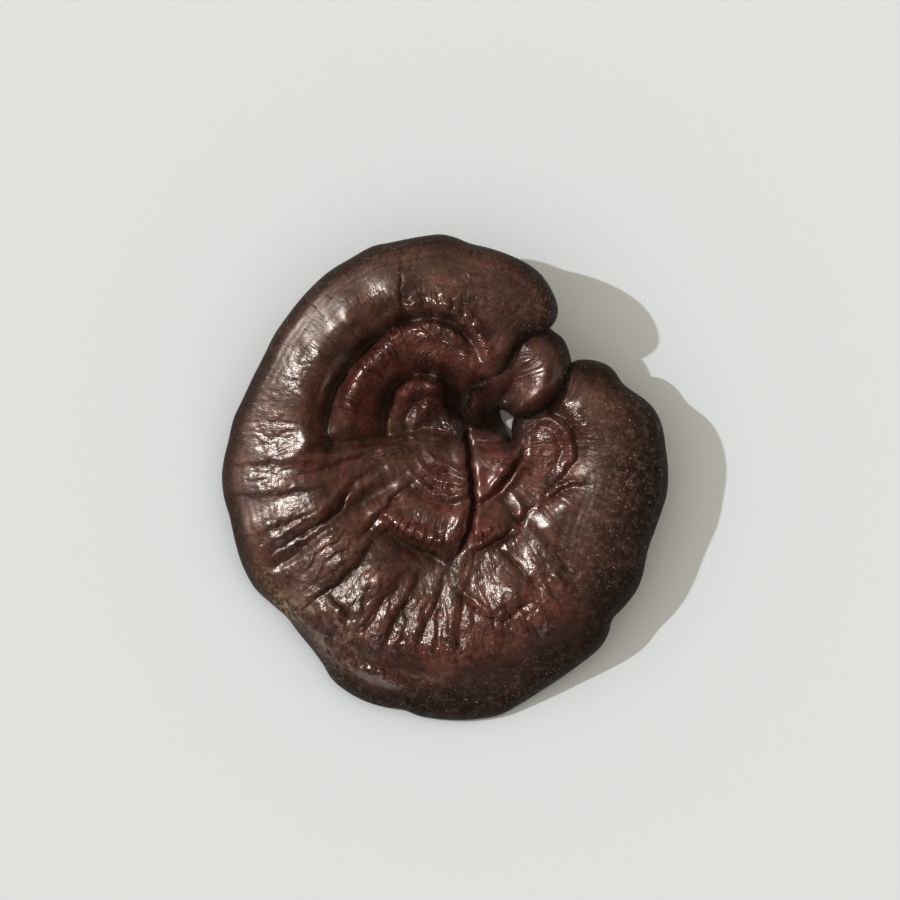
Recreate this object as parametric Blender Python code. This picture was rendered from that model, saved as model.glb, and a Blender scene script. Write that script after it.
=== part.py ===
"""Dried reishi mushroom: a kidney-shaped cap, a small rolled side lobe in its notch, and the cut stem under it.

The mushroom lies cap up, on the flat cut of its stem. Its plan is drawn in the pixels of a photograph taken from
straight above, x to the right and y down, because that is how the real one was read. Heights are in millimetres
above the surface that it lies on. Both are turned into metres when the meshes are made.
The origin is on that surface, under the middle of the cap. +X is the photograph's right and +Y is its top.
"""

import math

import bpy
import numpy as np
from mathutils import Vector
from mathutils.geometry import delaunay_2d_cdt
from mathutils.kdtree import KDTree

# Driving dimensions
CAP_LENGTH = 0.150  # metres, from the foot of the cap to its crown, the longest way across
PLAN_LENGTH = 486.0  # the same length in pixels
PLAN_CENTRE = (444.5, 479.0)  # pixels, the middle of the cap's plan
PIXEL = CAP_LENGTH / PLAN_LENGTH
MILLIMETRE = CAP_LENGTH / 150  # heights grow with the cap, so that it keeps its proportions

# Thickness of the flesh, in millimetres
CAP_FLESH = 8.5  # away from the rim
LOBE_FLESH = 5.0
THINNEST_FLESH = 3.4  # under the deepest grooves
LOW_RIM, HIGH_RIM = 2.5, 4.0  # half the rim's thickness at the foot and at the crown
LOW_RIM_HEIGHT, HIGH_RIM_HEIGHT = 5.0, 24.0
RIM_ROUNDING = 13.0  # pixels from the edge to where the rim is round no more
THICKENING = 60.0  # pixels over which the flesh reaches its full thickness

# Stem, in pixels
STEM_CENTRE = (450, 446)
STEM_RADIUS = 27
STEM_FLARE = 24  # over which the cut stem widens into the cap
STEM_SIDES = 24

# Size of the facets, in pixels
OUTLINE_STEP, FOLD_STEP, OUTER_STEP, UNDERSIDE_STEP = 9.0, 5.7, 11.5, 20.0
LOBE_OUTLINE_STEP, LOBE_STEP = 7.0, 6.5
RIM_ROWS = (1.8, 6.0, 12.5)  # distances of the rows of points that make the rim round
STEEP_BANK = 5.0  # a fold's side this narrow gets a row of points along its bank
FOLDED_CENTRE, FOLDED_SIZE = (445, 455), (160, 180)  # ellipse that holds the folds: middle and half axes

# Outline of the cap: the crown, the left side, the foot, the right lobe and back into the notch
CAP_OUTLINE = [
    (549, 329), (555, 321), (557, 310), (553, 296), (542, 278), (528, 266), (510, 257), (490, 250),
    (470, 245), (455, 239), (442, 236), (428, 237), (410, 240), (390, 244), (372, 248), (350, 260),
    (330, 272), (314, 286), (299, 302), (285, 320), (274, 336), (265, 354), (253, 377), (243, 398),
    (233, 419), (228, 440), (223, 460), (221, 478), (223, 497), (229, 518), (235, 545), (242, 567),
    (254, 589), (272, 606), (286, 618), (298, 634), (311, 650), (322, 665), (331, 680), (345, 692),
    (363, 702), (385, 709), (402, 711), (420, 718), (440, 721), (462, 722), (485, 720), (502, 716),
    (520, 706), (542, 692), (560, 680), (578, 667), (592, 656), (602, 646), (609, 633), (613, 619),
    (626, 605), (637, 590), (643, 574), (648, 550), (655, 530), (662, 510), (667, 492), (668, 472),
    (666, 452), (662, 427), (655, 411), (645, 400), (632, 391), (622, 383), (613, 370), (602, 363),
    (588, 360), (575, 361), (566, 368), (558, 382), (548, 397), (535, 407), (523, 412), (514, 418),
    (512, 427), (512, 436), (511, 440), (509, 434), (506, 426), (502, 419), (500, 411), (499, 401),
    (500, 391), (504, 381), (508, 370), (513, 357), (519, 346), (528, 338), (539, 335),
]

# Heights of the cap's upper surface: x, y, millimetres
CAP_HEIGHTS = [
    # Rim: the top lobe, the crown, the left side, the foot and the right lobe
    (549, 320, 29.5), (547, 297, 30.0), (522, 270, 29.6), (482, 252, 28.8), (440, 243, 28.0),
    (400, 248, 27.0), (355, 264, 25.2), (315, 292, 22.6), (285, 328, 19.8), (258, 375, 15.8),
    (238, 420, 12.0), (229, 470, 9.6), (232, 520, 9.0), (247, 568, 8.0), (280, 606, 7.0), (310, 642, 6.4),
    (342, 684, 6.0), (400, 706, 5.6), (460, 716, 4.6), (515, 703, 5.2), (560, 674, 8.2), (600, 640, 12.0),
    (634, 586, 14.6), (652, 530, 16.0), (662, 480, 17.2), (657, 425, 18.4), (625, 392, 19.8),
    (590, 367, 20.4),
    # Rounded back of the outer zone
    (520, 305, 32.2), (470, 278, 32.0), (420, 275, 31.0), (370, 292, 28.8), (330, 320, 25.8),
    (300, 355, 22.8), (275, 400, 18.8), (242, 440, 12.4), (262, 440, 15.4), (283, 440, 18.4),
    (242, 478, 11.6), (262, 478, 14.4), (283, 478, 17.4), (254, 510, 12.4), (274, 510, 15.2),
    (294, 506, 17.6), (264, 545, 12.2), (286, 540, 14.8), (345, 638, 13.4), (367, 655, 13.0),
    (400, 668, 12.2), (450, 680, 11.0), (510, 664, 12.6), (565, 622, 17.0), (605, 570, 20.4),
    (632, 510, 21.8), (636, 450, 22.8), (610, 405, 23.0), (590, 395, 22.6),
    # Its inner lip, down to the lip over the side lobe
    (500, 330, 30.4), (512, 318, 31.2), (475, 302, 31.2), (440, 292, 31.4), (395, 300, 30.4),
    (350, 325, 28.2), (322, 360, 25.8), (308, 400, 22.7), (300, 440, 20.7), (311, 442, 21.8),
    (508, 358, 28.6), (495, 372, 26.8), (525, 335, 29.5), (489, 342, 28.8), (480, 325, 29.4),
    (464, 312, 29.8),
    # Deep groove inside the lip
    (473, 374, 24.4), (467, 350, 25.4), (447, 322, 26.2), (405, 323, 22.4), (368, 346, 19.6),
    (340, 378, 18.4), (328, 415, 17.4), (326, 440, 17.4),
    # Second ring and the pleated slope inside it
    (460, 364, 23.6), (450, 346, 25.0), (430, 334, 25.2), (400, 342, 24.0), (373, 365, 22.2),
    (356, 392, 20.8), (350, 425, 19.0), (440, 360, 23.4), (420, 356, 23.4), (395, 362, 20.2),
    (372, 395, 17.0), (366, 425, 15.5),
    # Hollow inside the ring, and the small knob in it
    (450, 384, 14.0), (430, 374, 15.5), (400, 380, 13.5), (386, 400, 11.5), (380, 430, 11.5),
    (408, 396, 14.8), (420, 390, 16.4), (434, 388, 18.4), (420, 410, 13.0), (442, 405, 12.0),
    (430, 428, 12.0),
    # Floor of the crevice under the side lobe
    (464, 388, 14.5), (455, 405, 11.5), (470, 412, 11.5), (484, 396, 14.0), (492, 416, 12.0),
    # Seam and the fans below it
    (335, 455, 17.6), (390, 448, 15.5), (435, 438, 14.0), (450, 430, 12.5), (299, 478, 18.8),
    (335, 482, 18.8), (375, 468, 16.5), (314, 503, 19.8), (300, 522, 17.0), (302, 560, 13.8),
    (322, 560, 16.2), (345, 558, 18.8), (365, 520, 17.4), (450, 450, 14.2), (440, 470, 15.0),
    (435, 492, 16.0), (405, 505, 17.6), (430, 520, 19.0), (455, 515, 19.0), (395, 540, 16.4),
    (425, 556, 15.6), (318, 590, 14.2), (340, 588, 16.6), (300, 612, 11.0), (388, 570, 18.8),
    (403, 605, 17.4), (320, 616, 13.4), (344, 612, 15.6), (365, 625, 16.2), (390, 640, 15.6),
    (450, 590, 17.2), (450, 620, 17.4), (440, 652, 15.4), (490, 462, 17.5), (498, 492, 16.5),
    (484, 442, 13.5), (505, 446, 14.5), (490, 525, 18.8), (480, 563, 16.4), (515, 540, 17.2),
    (505, 590, 19.2), (532, 620, 18.0), (490, 640, 16.0), (525, 645, 15.2), (478, 590, 17.0),
    (535, 575, 19.2),
    # Right lobe
    (540, 432, 17.0), (552, 425, 19.0), (566, 442, 19.5), (560, 475, 18.5), (535, 470, 17.0),
    (520, 500, 18.0), (583, 425, 22.6), (598, 460, 23.0), (578, 500, 21.4), (552, 530, 20.4),
    (572, 570, 20.2), (568, 390, 22.0), (556, 404, 19.0), (540, 414, 16.5),
]

# Folds of the cap's upper surface. Each has its name, the width of its section on the left and on the right of
# its line in pixels, the roundness of the section (2 is round, less is sharper, more is flatter) and the line
# itself: x, y and its height above or below the surface in millimetres.
CAP_FOLDS = [
    ("outer lip", 12, 5, 2, [
        (306, 452, 0.4), (310, 418, 0.7), (319, 388, 0.8), (334, 360, 0.9), (354, 338, 1.0),
        (377, 320, 1.2), (402, 311, 1.2), (430, 305, 0.9), (457, 309, 0.5), (478, 323, 0.3)]),
    ("groove under the lip", 6, 6, 2, [
        (326, 448, -1.0), (325, 420, -2.0), (333, 392, -2.4), (348, 368, -2.6), (368, 346, -2.8),
        (392, 329, -2.6), (412, 321, -2.0), (428, 317, -0.6)]),
    ("end of the groove under the lip", 9, 4.5, 2, [
        (414, 320, -0.4), (430, 317, -1.4), (446, 320, -1.8), (459, 329, -1.8), (467, 343, -1.7),
        (471, 356, -1.3), (472, 367, -0.6)]),
    ("shelf inside the lip", 8, 4.5, 3, [
        (398, 314, 0.2), (405, 311, 1.2), (413, 310, 2.0), (424, 309, 1.6), (432, 310, 1.6),
        (446, 313, 2.5), (458, 318, 2.5), (468, 326, 2.0), (476, 336, 1.4), (483, 350, 0.5)]),
    ("second ring", 7.5, 11, 3, [
        (346, 436, 0.2), (344, 420, 0.9), (348, 405, 1.5), (354, 388, 1.8), (363, 374, 1.8),
        (370, 368, 1.0), (377, 362, 1.9), (384, 352, 1.9), (394, 343, 1.8), (410, 334, 1.6),
        (425, 331, 1.6), (440, 332, 1.6), (453, 339, 1.6), (464, 349, 1.4), (470, 362, 1.0),
        (470, 374, 0.4)]),
    ("knob", 6, 9, 3, [
        (392, 430, 0.6), (393, 412, 1.6), (400, 397, 2.2), (411, 388, 2.6), (424, 384, 2.8),
        (436, 387, 2.6), (441, 397, 1.2)]),
    ("moat round the knob", 6, 5, 2, [
        (382, 432, -0.8), (383, 410, -1.8), (391, 391, -2.0), (405, 378, -2.0), (425, 374, -1.8),
        (444, 380, -1.2)]),
    ("seam", 3, 8, 2, [
        (312, 456, 0.3), (340, 453, 0.9), (360, 450, 1.2), (380, 446, 1.3), (400, 443, 1.3),
        (420, 439, 1.2), (440, 437, 0.5)]),
    ("ditch above the seam", 6, 5, 2, [
        (318, 446, -1.2), (345, 443, -1.8), (370, 438, -1.8), (395, 434, -1.8), (418, 430, -1.6),
        (438, 427, -0.8)]),
    ("crevice under the side lobe", 11, 10, 3, [
        (446, 384, -1.5), (450, 396, -2.5), (459, 406, -3.5), (472, 412, -5.5), (486, 417, -8.0),
        (498, 421, -9.8), (506, 424, -10.5)]),
    ("split", 2.8, 2.8, 1.6, [
        (466, 432, -3.0), (468, 450, -4.5), (470, 470, -4.5), (472, 490, -4.5), (473, 505, -4.5),
        (471, 520, -4.5), (467, 534, -4.0), (461, 547, -3.0), (454, 559, -1.0)]),
    ("left bank of the split", 8, 5, 2, [
        (456, 440, 0.2), (459, 470, 0.6), (461, 500, 1.0), (459, 520, 1.5), (453, 537, 1.5),
        (446, 555, 0.8)]),
    ("right bank of the split", 5, 6, 2, [
        (477, 445, 0.2), (479, 470, 0.5), (480, 500, 0.6), (479, 520, 0.8), (473, 540, 0.6)]),
    ("terrace", 4, 3, 2, [
        (412, 472, 0.3), (422, 484, 1.0), (433, 492, 1.3), (450, 496, 1.3), (466, 493, 0.8)]),
    ("foot of the terraces", 3, 5, 2, [
        (406, 475, -0.4), (416, 492, -1.0), (432, 501, -1.4), (450, 504, -1.4), (467, 500, -0.8)]),
    ("edge of the pillow", 9, 4, 2, [
        (371, 524, 0.2), (379, 514, 1.0), (390, 516, 1.9), (402, 526, 2.2), (415, 533, 2.2),
        (428, 539, 2.2), (441, 543, 1.8), (447, 536, 0.6)]),
    ("valley under the pillow", 4, 8, 2, [
        (376, 530, -0.8), (388, 532, -1.8), (402, 543, -2.2), (418, 551, -2.2), (436, 557, -1.8),
        (450, 564, -0.8)]),
    ("pillow right of the split", 7, 3.5, 2, [
        (474, 534, 0.8), (488, 528, 1.2), (500, 524, 1.0), (509, 520, 0.4)]),
    ("valley right of the split", 3, 7, 2, [
        (474, 556, -0.6), (486, 551, -1.2), (500, 544, -1.2), (512, 537, -0.6)]),
    ("flank of the heart", 2.4, 8, 2, [
        (517, 456, 0.4), (509, 468, 1.6), (502, 478, 2.4), (494, 489, 2.2), (486, 497, 0.8)]),
    ("groove round the heart", 3, 2.5, 1.8, [
        (526, 449, -0.5), (518, 461, -2.0), (508, 474, -2.8), (498, 486, -2.8), (489, 497, -1.8),
        (478, 503, -1.0)]),
    ("rim beyond the heart", 5, 2.5, 2, [
        (531, 454, 0.2), (521, 466, 0.9), (510, 480, 1.2), (500, 492, 0.9), (488, 503, 0.4)]),
    ("ring of the right lobe", 2.6, 6, 2, [
        (526, 429, 0.4), (534, 423, 1.2), (542, 419, 1.7), (550, 418, 1.9), (557, 423, 1.9),
        (565, 432, 1.8), (570, 443, 1.5), (571, 455, 1.2), (568, 467, 0.6)]),
    ("groove outside that ring", 8, 3, 2, [
        (538, 412, -1.2), (550, 411, -1.5), (560, 416, -1.7), (569, 427, -1.7), (575, 440, -1.5),
        (577, 454, -1.3), (569, 468, -1.1), (559, 480, -1.1), (550, 491, -1.0), (543, 502, -0.5)]),
    ("first fan of the west rim", 14, 2.2, 2, [
        (246, 463, 0.2), (262, 461, 0.9), (284, 460, 1.0), (306, 461, 0.4)]),
    ("second fan of the west rim", 13, 2.2, 2, [
        (246, 494, 0.2), (264, 492, 0.9), (284, 490, 1.1), (304, 487, 0.8), (324, 485, 0.2)]),
    ("third fan of the west rim", 13, 2.4, 2, [
        (254, 534, 0.2), (272, 526, 1.0), (292, 518, 1.2), (308, 512, 0.9), (322, 505, 0.3)]),
    ("middle crease", 3, 4, 1.6, [
        (385, 466, -0.4), (364, 477, -1.0), (350, 488, -1.8), (342, 503, -2.6), (330, 517, -2.8),
        (318, 524, -2.4), (304, 533, -1.8), (288, 543, -1.4), (272, 552, -0.8)]),
    ("middle valley", 5, 8, 2, [
        (334, 526, -0.6), (318, 538, -1.4), (302, 550, -2.0), (286, 560, -1.8), (272, 568, -0.8)]),
    ("fold above the middle crease", 8, 4, 2, [
        (356, 476, 0.3), (338, 494, 0.6), (322, 510, 1.0), (304, 521, 1.2), (284, 532, 1.0),
        (268, 542, 0.5)]),
    ("trough beside the lower crease", 8, 8, 2, [
        (398, 478, -0.6), (380, 490, -1.8), (364, 500, -2.4), (350, 510, -2.0), (338, 520, -0.8)]),
    ("lower crease", 2.4, 2.4, 1.5, [
        (410, 484, -0.6), (396, 497, -1.6), (384, 510, -2.0), (372, 525, -1.6), (360, 538, -0.6)]),
    ("foot crease", 15, 3.2, 1.8, [
        (382, 534, -0.4), (369, 549, -1.5), (355, 566, -2.2), (341, 581, -2.2), (327, 592, -1.7),
        (312, 602, -0.8)]),
    ("crease under the foot hump", 11, 2.6, 1.8, [
        (404, 572, -0.4), (396, 584, -1.4), (386, 596, -1.5), (375, 610, -1.2), (366, 624, -0.4)]),
    ("south west crease", 14, 3, 1.8, [
        (424, 568, -0.4), (415, 584, -1.7), (407, 600, -2.0), (397, 615, -2.0), (389, 630, -1.5),
        (382, 644, -0.6)]),
    ("south crease", 13, 3, 1.8, [
        (446, 572, -0.4), (440, 592, -1.4), (433, 611, -1.7), (424, 628, -1.4), (414, 646, -0.6)]),
    ("second south crease", 12, 3, 1.8, [
        (466, 584, -0.3), (463, 602, -1.0), (461, 620, -1.2), (458, 640, -1.0), (455, 656, -0.4)]),
    ("south east crease", 13, 3, 1.8, [
        (504, 606, -0.4), (505, 622, -1.2), (504, 640, -1.0), (500, 654, -0.4)]),
    ("crease of the foot rim", 11, 3, 1.8, [
        (352, 606, -0.4), (344, 618, -1.0), (336, 632, -0.9), (332, 644, -0.3)]),
    ("diagonal crease", 2.2, 2.2, 1.5, [
        (500, 548, -0.6), (508, 556, -1.4), (517, 566, -1.8), (527, 576, -1.6), (538, 587, -0.8)]),
    ("pit", 6, 7, 2, [(550, 548, -0.6), (560, 556, -1.6), (566, 566, -1.6), (574, 572, -0.6)]),
    ("end of the wrinkles", 12, 14, 2, [
        (352, 640, 0.2), (375, 652, 0.4), (405, 664, 0.5), (440, 668, 0.6), (475, 662, 0.6),
        (505, 654, 0.6), (532, 642, 0.4), (552, 626, 0.2)]),
    ("furrow inside the rim", 4, 5, 2, [
        (310, 602, -0.4), (332, 634, -0.4), (356, 655, -0.8), (380, 667, -0.9), (405, 676, -0.7),
        (440, 684, -0.4)]),
    ("bead on the rim", 5, 6, 2, [(368, 668, 0.4), (383, 674, 1.0), (398, 680, 0.6)]),
]

# Bumps of the upper surface: x, y, half width, half height, degrees turned, millimetres
CAP_BUMPS = [
    (506, 466, 12, 12, 30, 1.8),  # heart
    (522, 443, 13, 15, 0, 1.0),  # inside the right lobe's ring
    (514, 589, 14, 13, -20, 1.6),  # south hump
    (542, 618, 16, 12, -25, 1.0), (535, 565, 9, 12, -30, 1.0), (548, 525, 13, 12, 0, 1.0),
    (568, 505, 12, 8, -30, 0.9),
    (380, 578, 14, 14, 0, 1.0),  # foot hump
    (402, 642, 10, 9, 30, 0.8), (378, 636, 12, 10, 0, 1.2), (356, 610, 9, 12, -30, 0.8),
    (330, 560, 18, 14, -35, 0.9),  # west fan
]

# Outline of the side lobe: its rim, the edge over the hole, the ear that it is rolled into, and the root that
# is hidden in the flesh of the cap's top lobe
LOBE_OUTLINE = [
    (541, 322), (552, 331), (562, 339), (568, 351), (571, 366), (569, 380), (562, 393), (552, 404),
    (540, 412), (526, 417), (514, 417), (507, 412), (500, 410), (494, 414), (487, 418), (481, 423),
    (476, 428), (469, 423), (463, 415), (460, 406), (460, 397), (464, 389), (471, 383), (480, 377),
    (491, 369), (501, 357), (509, 344), (519, 332), (530, 325),
]

# Heights of the side lobe's upper surface
LOBE_HEIGHTS = [
    # Rim, and the edge over the hole
    (551, 334, 24.0), (565, 348, 23.5), (568, 366, 23.0), (561, 389, 21.5), (545, 405, 20.5),
    (526, 414, 20.0), (510, 410, 19.5),
    # Raised ring, and the valley inside it
    (526, 349, 26.2), (538, 358, 27.0), (546, 372, 27.2), (545, 388, 26.6), (535, 402, 25.0),
    (520, 410, 22.5), (520, 368, 24.6), (521, 382, 23.0), (515, 395, 21.2),
    # Neck and ear
    (508, 378, 24.5), (507, 390, 21.0), (498, 384, 24.0), (485, 386, 24.0), (473, 390, 23.5),
    (465, 398, 22.5), (466, 409, 21.0), (473, 418, 19.0), (485, 398, 20.0), (492, 405, 18.5),
    (483, 410, 18.0), (497, 396, 20.0),
    # Root
    (541, 326, 24.5), (515, 340, 25.0), (500, 360, 25.0), (488, 374, 24.0),
]

LOBE_FOLDS = [
    ("raised ring", 9, 6, 2, [
        (522, 346, 0.4), (535, 352, 0.6), (545, 365, 0.7), (547, 382, 0.7), (540, 397, 0.6),
        (524, 409, 0.4)]),
    ("crest of the ear", 3, 5, 2, [
        (500, 383, 0.5), (487, 384, 1.0), (474, 387, 1.2), (465, 395, 1.2), (464, 405, 1.0),
        (471, 417, 0.5)]),
    ("neck", 4, 4, 2, [
        (512, 380, -0.5), (507, 390, -1.2), (503, 400, -1.0)]),
]


def smooth_path(points, per_span, closed=False):
    """A Catmull-Rom curve through the points. A height that follows x and y is carried along."""
    p = np.array(points, float)
    if closed:
        p = np.vstack([p[-1], p, p[:2]])
    else:
        p = np.vstack([2 * p[0] - p[1], p, 2 * p[-1] - p[-2]])
    t = np.linspace(0, 1, per_span, endpoint=False)[:, None]
    spans = [
        b + 0.5 * ((c - a) * t + (2 * a - 5 * b + 4 * c - d) * t**2 + (3 * b - a - 3 * c + d) * t**3)
        for a, b, c, d in zip(p[:-3], p[1:-2], p[2:-1], p[3:])
    ]
    return np.vstack(spans if closed else [*spans, p[-2:-1]])


def even_path(path, step, closed=False):
    """The same curve with its points a step apart."""
    if closed:
        path = np.vstack([path, path[:1]])
    along = np.concatenate([[0], np.cumsum(np.linalg.norm(np.diff(path[:, :2], axis=0), axis=1))])
    count = max(2, round(along[-1] / step))
    wanted = np.linspace(0, along[-1], count, endpoint=not closed)
    return np.stack([np.interp(wanted, along, column) for column in path.T], 1)


def smooth_step(value):
    t = np.clip(value, 0, 1)
    return t * t * (3 - 2 * t)


def quarter_round(value):
    """Rises steeply from 0 and flattens at 1, like the quarter of a circle."""
    return np.sqrt(1 - (1 - np.clip(value, 0, 1)) ** 2)


def bent_plate(heights, stiffness):
    """The surface of a thin plate bent through the heights. A stiff one passes them by more smoothly."""
    known = np.array(heights, float)
    anchors, z = known[:, :2] / 100, known[:, 2]
    count = len(known)

    def bending(a, b):
        squared = ((a[:, None] - b[None]) ** 2).sum(2)
        return 0.5 * squared * np.log(squared + 1e-12)

    plane = np.hstack([np.ones((count, 1)), anchors])
    bent = bending(anchors, anchors) + stiffness * np.eye(count)
    system = np.block([[bent, plane], [plane.T, np.zeros((3, 3))]])
    weights = np.linalg.solve(system, np.concatenate([z, np.zeros(3)]))

    def height(places):
        q = places / 100
        flat = np.hstack([np.ones((len(q), 1)), q])
        return bending(q, anchors) @ weights[:count] + flat @ weights[count:]

    return height


def fold_relief(places, folds):
    """What the folds add to the surface at these places, in millimetres."""
    relief = np.zeros(len(places))
    for _, left, right, roundness, line in folds:
        path = smooth_path(line, 5)
        nearest = np.full(len(places), np.inf)
        added = np.zeros(len(places))
        for start, end in zip(path[:-1], path[1:]):
            run = (end - start)[:2]
            away = places - start[:2]
            share = np.clip(away @ run / (run @ run), 0, 1)
            gap = away - share[:, None] * run
            distance = np.linalg.norm(gap, axis=1)
            on_right = run[0] * gap[:, 1] - run[1] * gap[:, 0] > 0
            section = np.exp(-((distance / np.where(on_right, right, left)) ** roundness))
            height = start[2] + share * (end[2] - start[2])
            added = np.where(distance < nearest, height * section, added)
            nearest = np.minimum(nearest, distance)
        relief += added
    return relief


def bump_relief(places, bumps):
    """What the bumps add to the surface at these places, in millimetres."""
    relief = np.zeros(len(places))
    for x, y, half_width, half_height, turn, height in bumps:
        angle = math.radians(turn)
        away = places - (x, y)
        across = (away[:, 0] * math.cos(angle) + away[:, 1] * math.sin(angle)) / half_width
        along = (away[:, 1] * math.cos(angle) - away[:, 0] * math.sin(angle)) / half_height
        relief += height * np.exp(-(across**2 + along**2))
    return relief


def distance_to(points, places):
    """How far each place is from the nearest of the points."""
    tree = KDTree(len(points))
    for index, (x, y) in enumerate(points):
        tree.insert((x, y, 0), index)
    tree.balance()
    return np.array([tree.find((x, y, 0))[2] for x, y in places])


def inside(places, outline):
    x, y = places.T
    within = np.zeros(len(places), bool)
    for (x1, y1), (x2, y2) in zip(outline, np.roll(outline, -1, axis=0)):
        if y1 != y2:
            within ^= ((y1 > y) != (y2 > y)) & (x < (x2 - x1) * (y - y1) / (y2 - y1) + x1)
    return within


def honeycomb(outline, step):
    """The corners of equilateral triangles, over the outline's box."""
    low, high = outline.min(0), outline.max(0)
    rows = np.arange(low[1], high[1], step * math.sqrt(3) / 2)
    columns = np.arange(low[0], high[0], step)
    return np.array([(x + step / 2 * (k % 2), y) for k, y in enumerate(rows) for x in columns])


def rim_rows(outline, edge):
    """Rows of points that follow the outline inwards, so that the rim comes out round."""
    run = np.roll(outline, -1, axis=0) - np.roll(outline, 1, axis=0)
    inwards = np.stack([run[:, 1], -run[:, 0]], 1) / np.linalg.norm(run, axis=1)[:, None]
    if not inside(outline[:1] + inwards[:1], outline)[0]:
        inwards = -inwards
    rows = []
    for offset in RIM_ROWS:
        row = outline + inwards * offset
        clear = distance_to(edge, row) > 0.93 * offset
        rows.append(row[clear & inside(row, outline)])
    return rows


def fold_lines(folds):
    """Points along each fold, and along the steep banks of the sharp ones."""
    lines = []
    for _, left, right, roundness, line in folds:
        path = even_path(smooth_path(line, 5), 0.8 * FOLD_STEP)[:, :2]
        lines.append(path)
        run = np.gradient(path, axis=0)
        across = np.stack([-run[:, 1], run[:, 0]], 1) / np.linalg.norm(run, axis=1)[:, None]
        banks = [(right, across), (left, -across)]
        lines += [
            path + 1.7 * width * side for width, side in banks if roundness < 2 and width < STEEP_BANK
        ]
    return lines


def stem_rings(spacing):
    """Rings of points round the stem: the edge of its cut, and its flare into the cap."""
    angles = np.arange(STEM_SIDES) * math.tau / STEM_SIDES
    circle = np.stack([np.cos(angles), np.sin(angles)], 1)
    return [STEM_CENTRE + circle * (STEM_RADIUS + share * STEM_FLARE) for share in spacing]


def spread(outline, edge, layers):
    """The layers' points inside the outline, but none too near the edge or a point of an earlier layer."""
    kept = outline
    for points, gap in layers:
        points = points[inside(points, outline)]
        points = points[distance_to(edge, points) > 0.45 * gap]
        kept = np.vstack([kept, points[distance_to(kept, points) > gap]])
    return kept[len(outline):]


def triangulate(outline, points):
    """Delaunay triangles between the outline's corners and the points inside it."""
    corners = [Vector((x, -y)) for x, y in np.vstack([outline, points])]
    sides = [(k, (k + 1) % len(outline)) for k in range(len(outline))]
    return delaunay_2d_cdt(corners, sides, [], 1, 1e-6)[2]


def flesh_heights(places, from_rim, heights, folds, bumps, flesh, rim_half, calm):
    """Heights of the upper and the lower surface, in millimetres, at these places."""
    crown = bent_plate(heights, 0.0005)(places) + fold_relief(places, folds) + bump_relief(places, bumps)
    half = rim_half(crown)
    round_rim = quarter_round(from_rim / RIM_ROUNDING)
    upper = crown - half * (1 - round_rim)
    inwards = smooth_step((from_rim / RIM_ROUNDING - 0.5) / 2)
    body = crown + (bent_plate(heights, calm)(places) - crown) * inwards
    thickened = smooth_step((from_rim - RIM_ROUNDING) / THICKENING)
    thickness = half * (1 + round_rim) + (flesh - 2 * half) * thickened
    lower = np.minimum(body - thickness, upper - THINNEST_FLESH * smooth_step(from_rim / RIM_ROUNDING))
    return upper, np.maximum(lower, 0)


def cap_heights(places, from_rim):
    """The cap's two surfaces. The lower one runs down into the stem, which is cut off flat at height 0."""

    def rim_half(crown):
        return np.interp(crown, (LOW_RIM_HEIGHT, HIGH_RIM_HEIGHT), (LOW_RIM, HIGH_RIM))

    upper, lower = flesh_heights(
        places, from_rim, CAP_HEIGHTS, CAP_FOLDS, CAP_BUMPS, CAP_FLESH, rim_half, calm=1.0
    )
    from_stem = np.linalg.norm(places - STEM_CENTRE, axis=1) - STEM_RADIUS
    return upper, lower * quarter_round((from_stem - 0.01) / STEM_FLARE)


def lobe_heights(places, from_rim):
    def rim_half(crown):
        return np.full(len(crown), 0.45 * LOBE_FLESH)

    return flesh_heights(places, from_rim, LOBE_HEIGHTS, LOBE_FOLDS, [], LOBE_FLESH, rim_half, calm=0.05)


def closed_mesh(name, outline, upper_points, lower_points, surfaces, edge, materials):
    """One closed mesh from an upper and a lower surface that share the outline's corners."""
    count = len(outline)
    top = np.vstack([outline, upper_points])
    low = np.vstack([outline, lower_points])
    top_z = surfaces(top, distance_to(edge, top))[0]
    low_z = surfaces(low, distance_to(edge, low))[1]
    plan = np.vstack([top, lower_points])
    z = np.concatenate([top_z, low_z[count:]])
    shift = len(top) - count
    upper_faces = [tuple(face) for face in triangulate(outline, upper_points)]
    lower_faces = [
        tuple(k if k < count else k + shift for k in reversed(face))
        for face in triangulate(outline, lower_points)
    ]
    vertices = np.stack(
        [(plan[:, 0] - PLAN_CENTRE[0]) * PIXEL, (PLAN_CENTRE[1] - plan[:, 1]) * PIXEL, z * MILLIMETRE], 1
    )
    mesh = bpy.data.meshes.new(name)
    mesh.from_pydata(vertices.tolist(), [], upper_faces + lower_faces)
    for material in materials:
        mesh.materials.append(material)
    mesh.polygons.foreach_set("material_index", [0] * len(upper_faces) + [1] * len(lower_faces))
    mesh.shade_smooth()
    mesh.validate()
    obj = bpy.data.objects.new(name, mesh)
    bpy.context.scene.collection.objects.link(obj)
    return obj


def surface_material(name, colour, roughness):
    material = bpy.data.materials.new(name)
    material.use_nodes = True
    shader = material.node_tree.nodes["Principled BSDF"]
    shader.inputs["Base Color"].default_value = (*colour, 1)
    shader.inputs["Roughness"].default_value = roughness
    shader.inputs["Metallic"].default_value = 0
    return material


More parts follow.
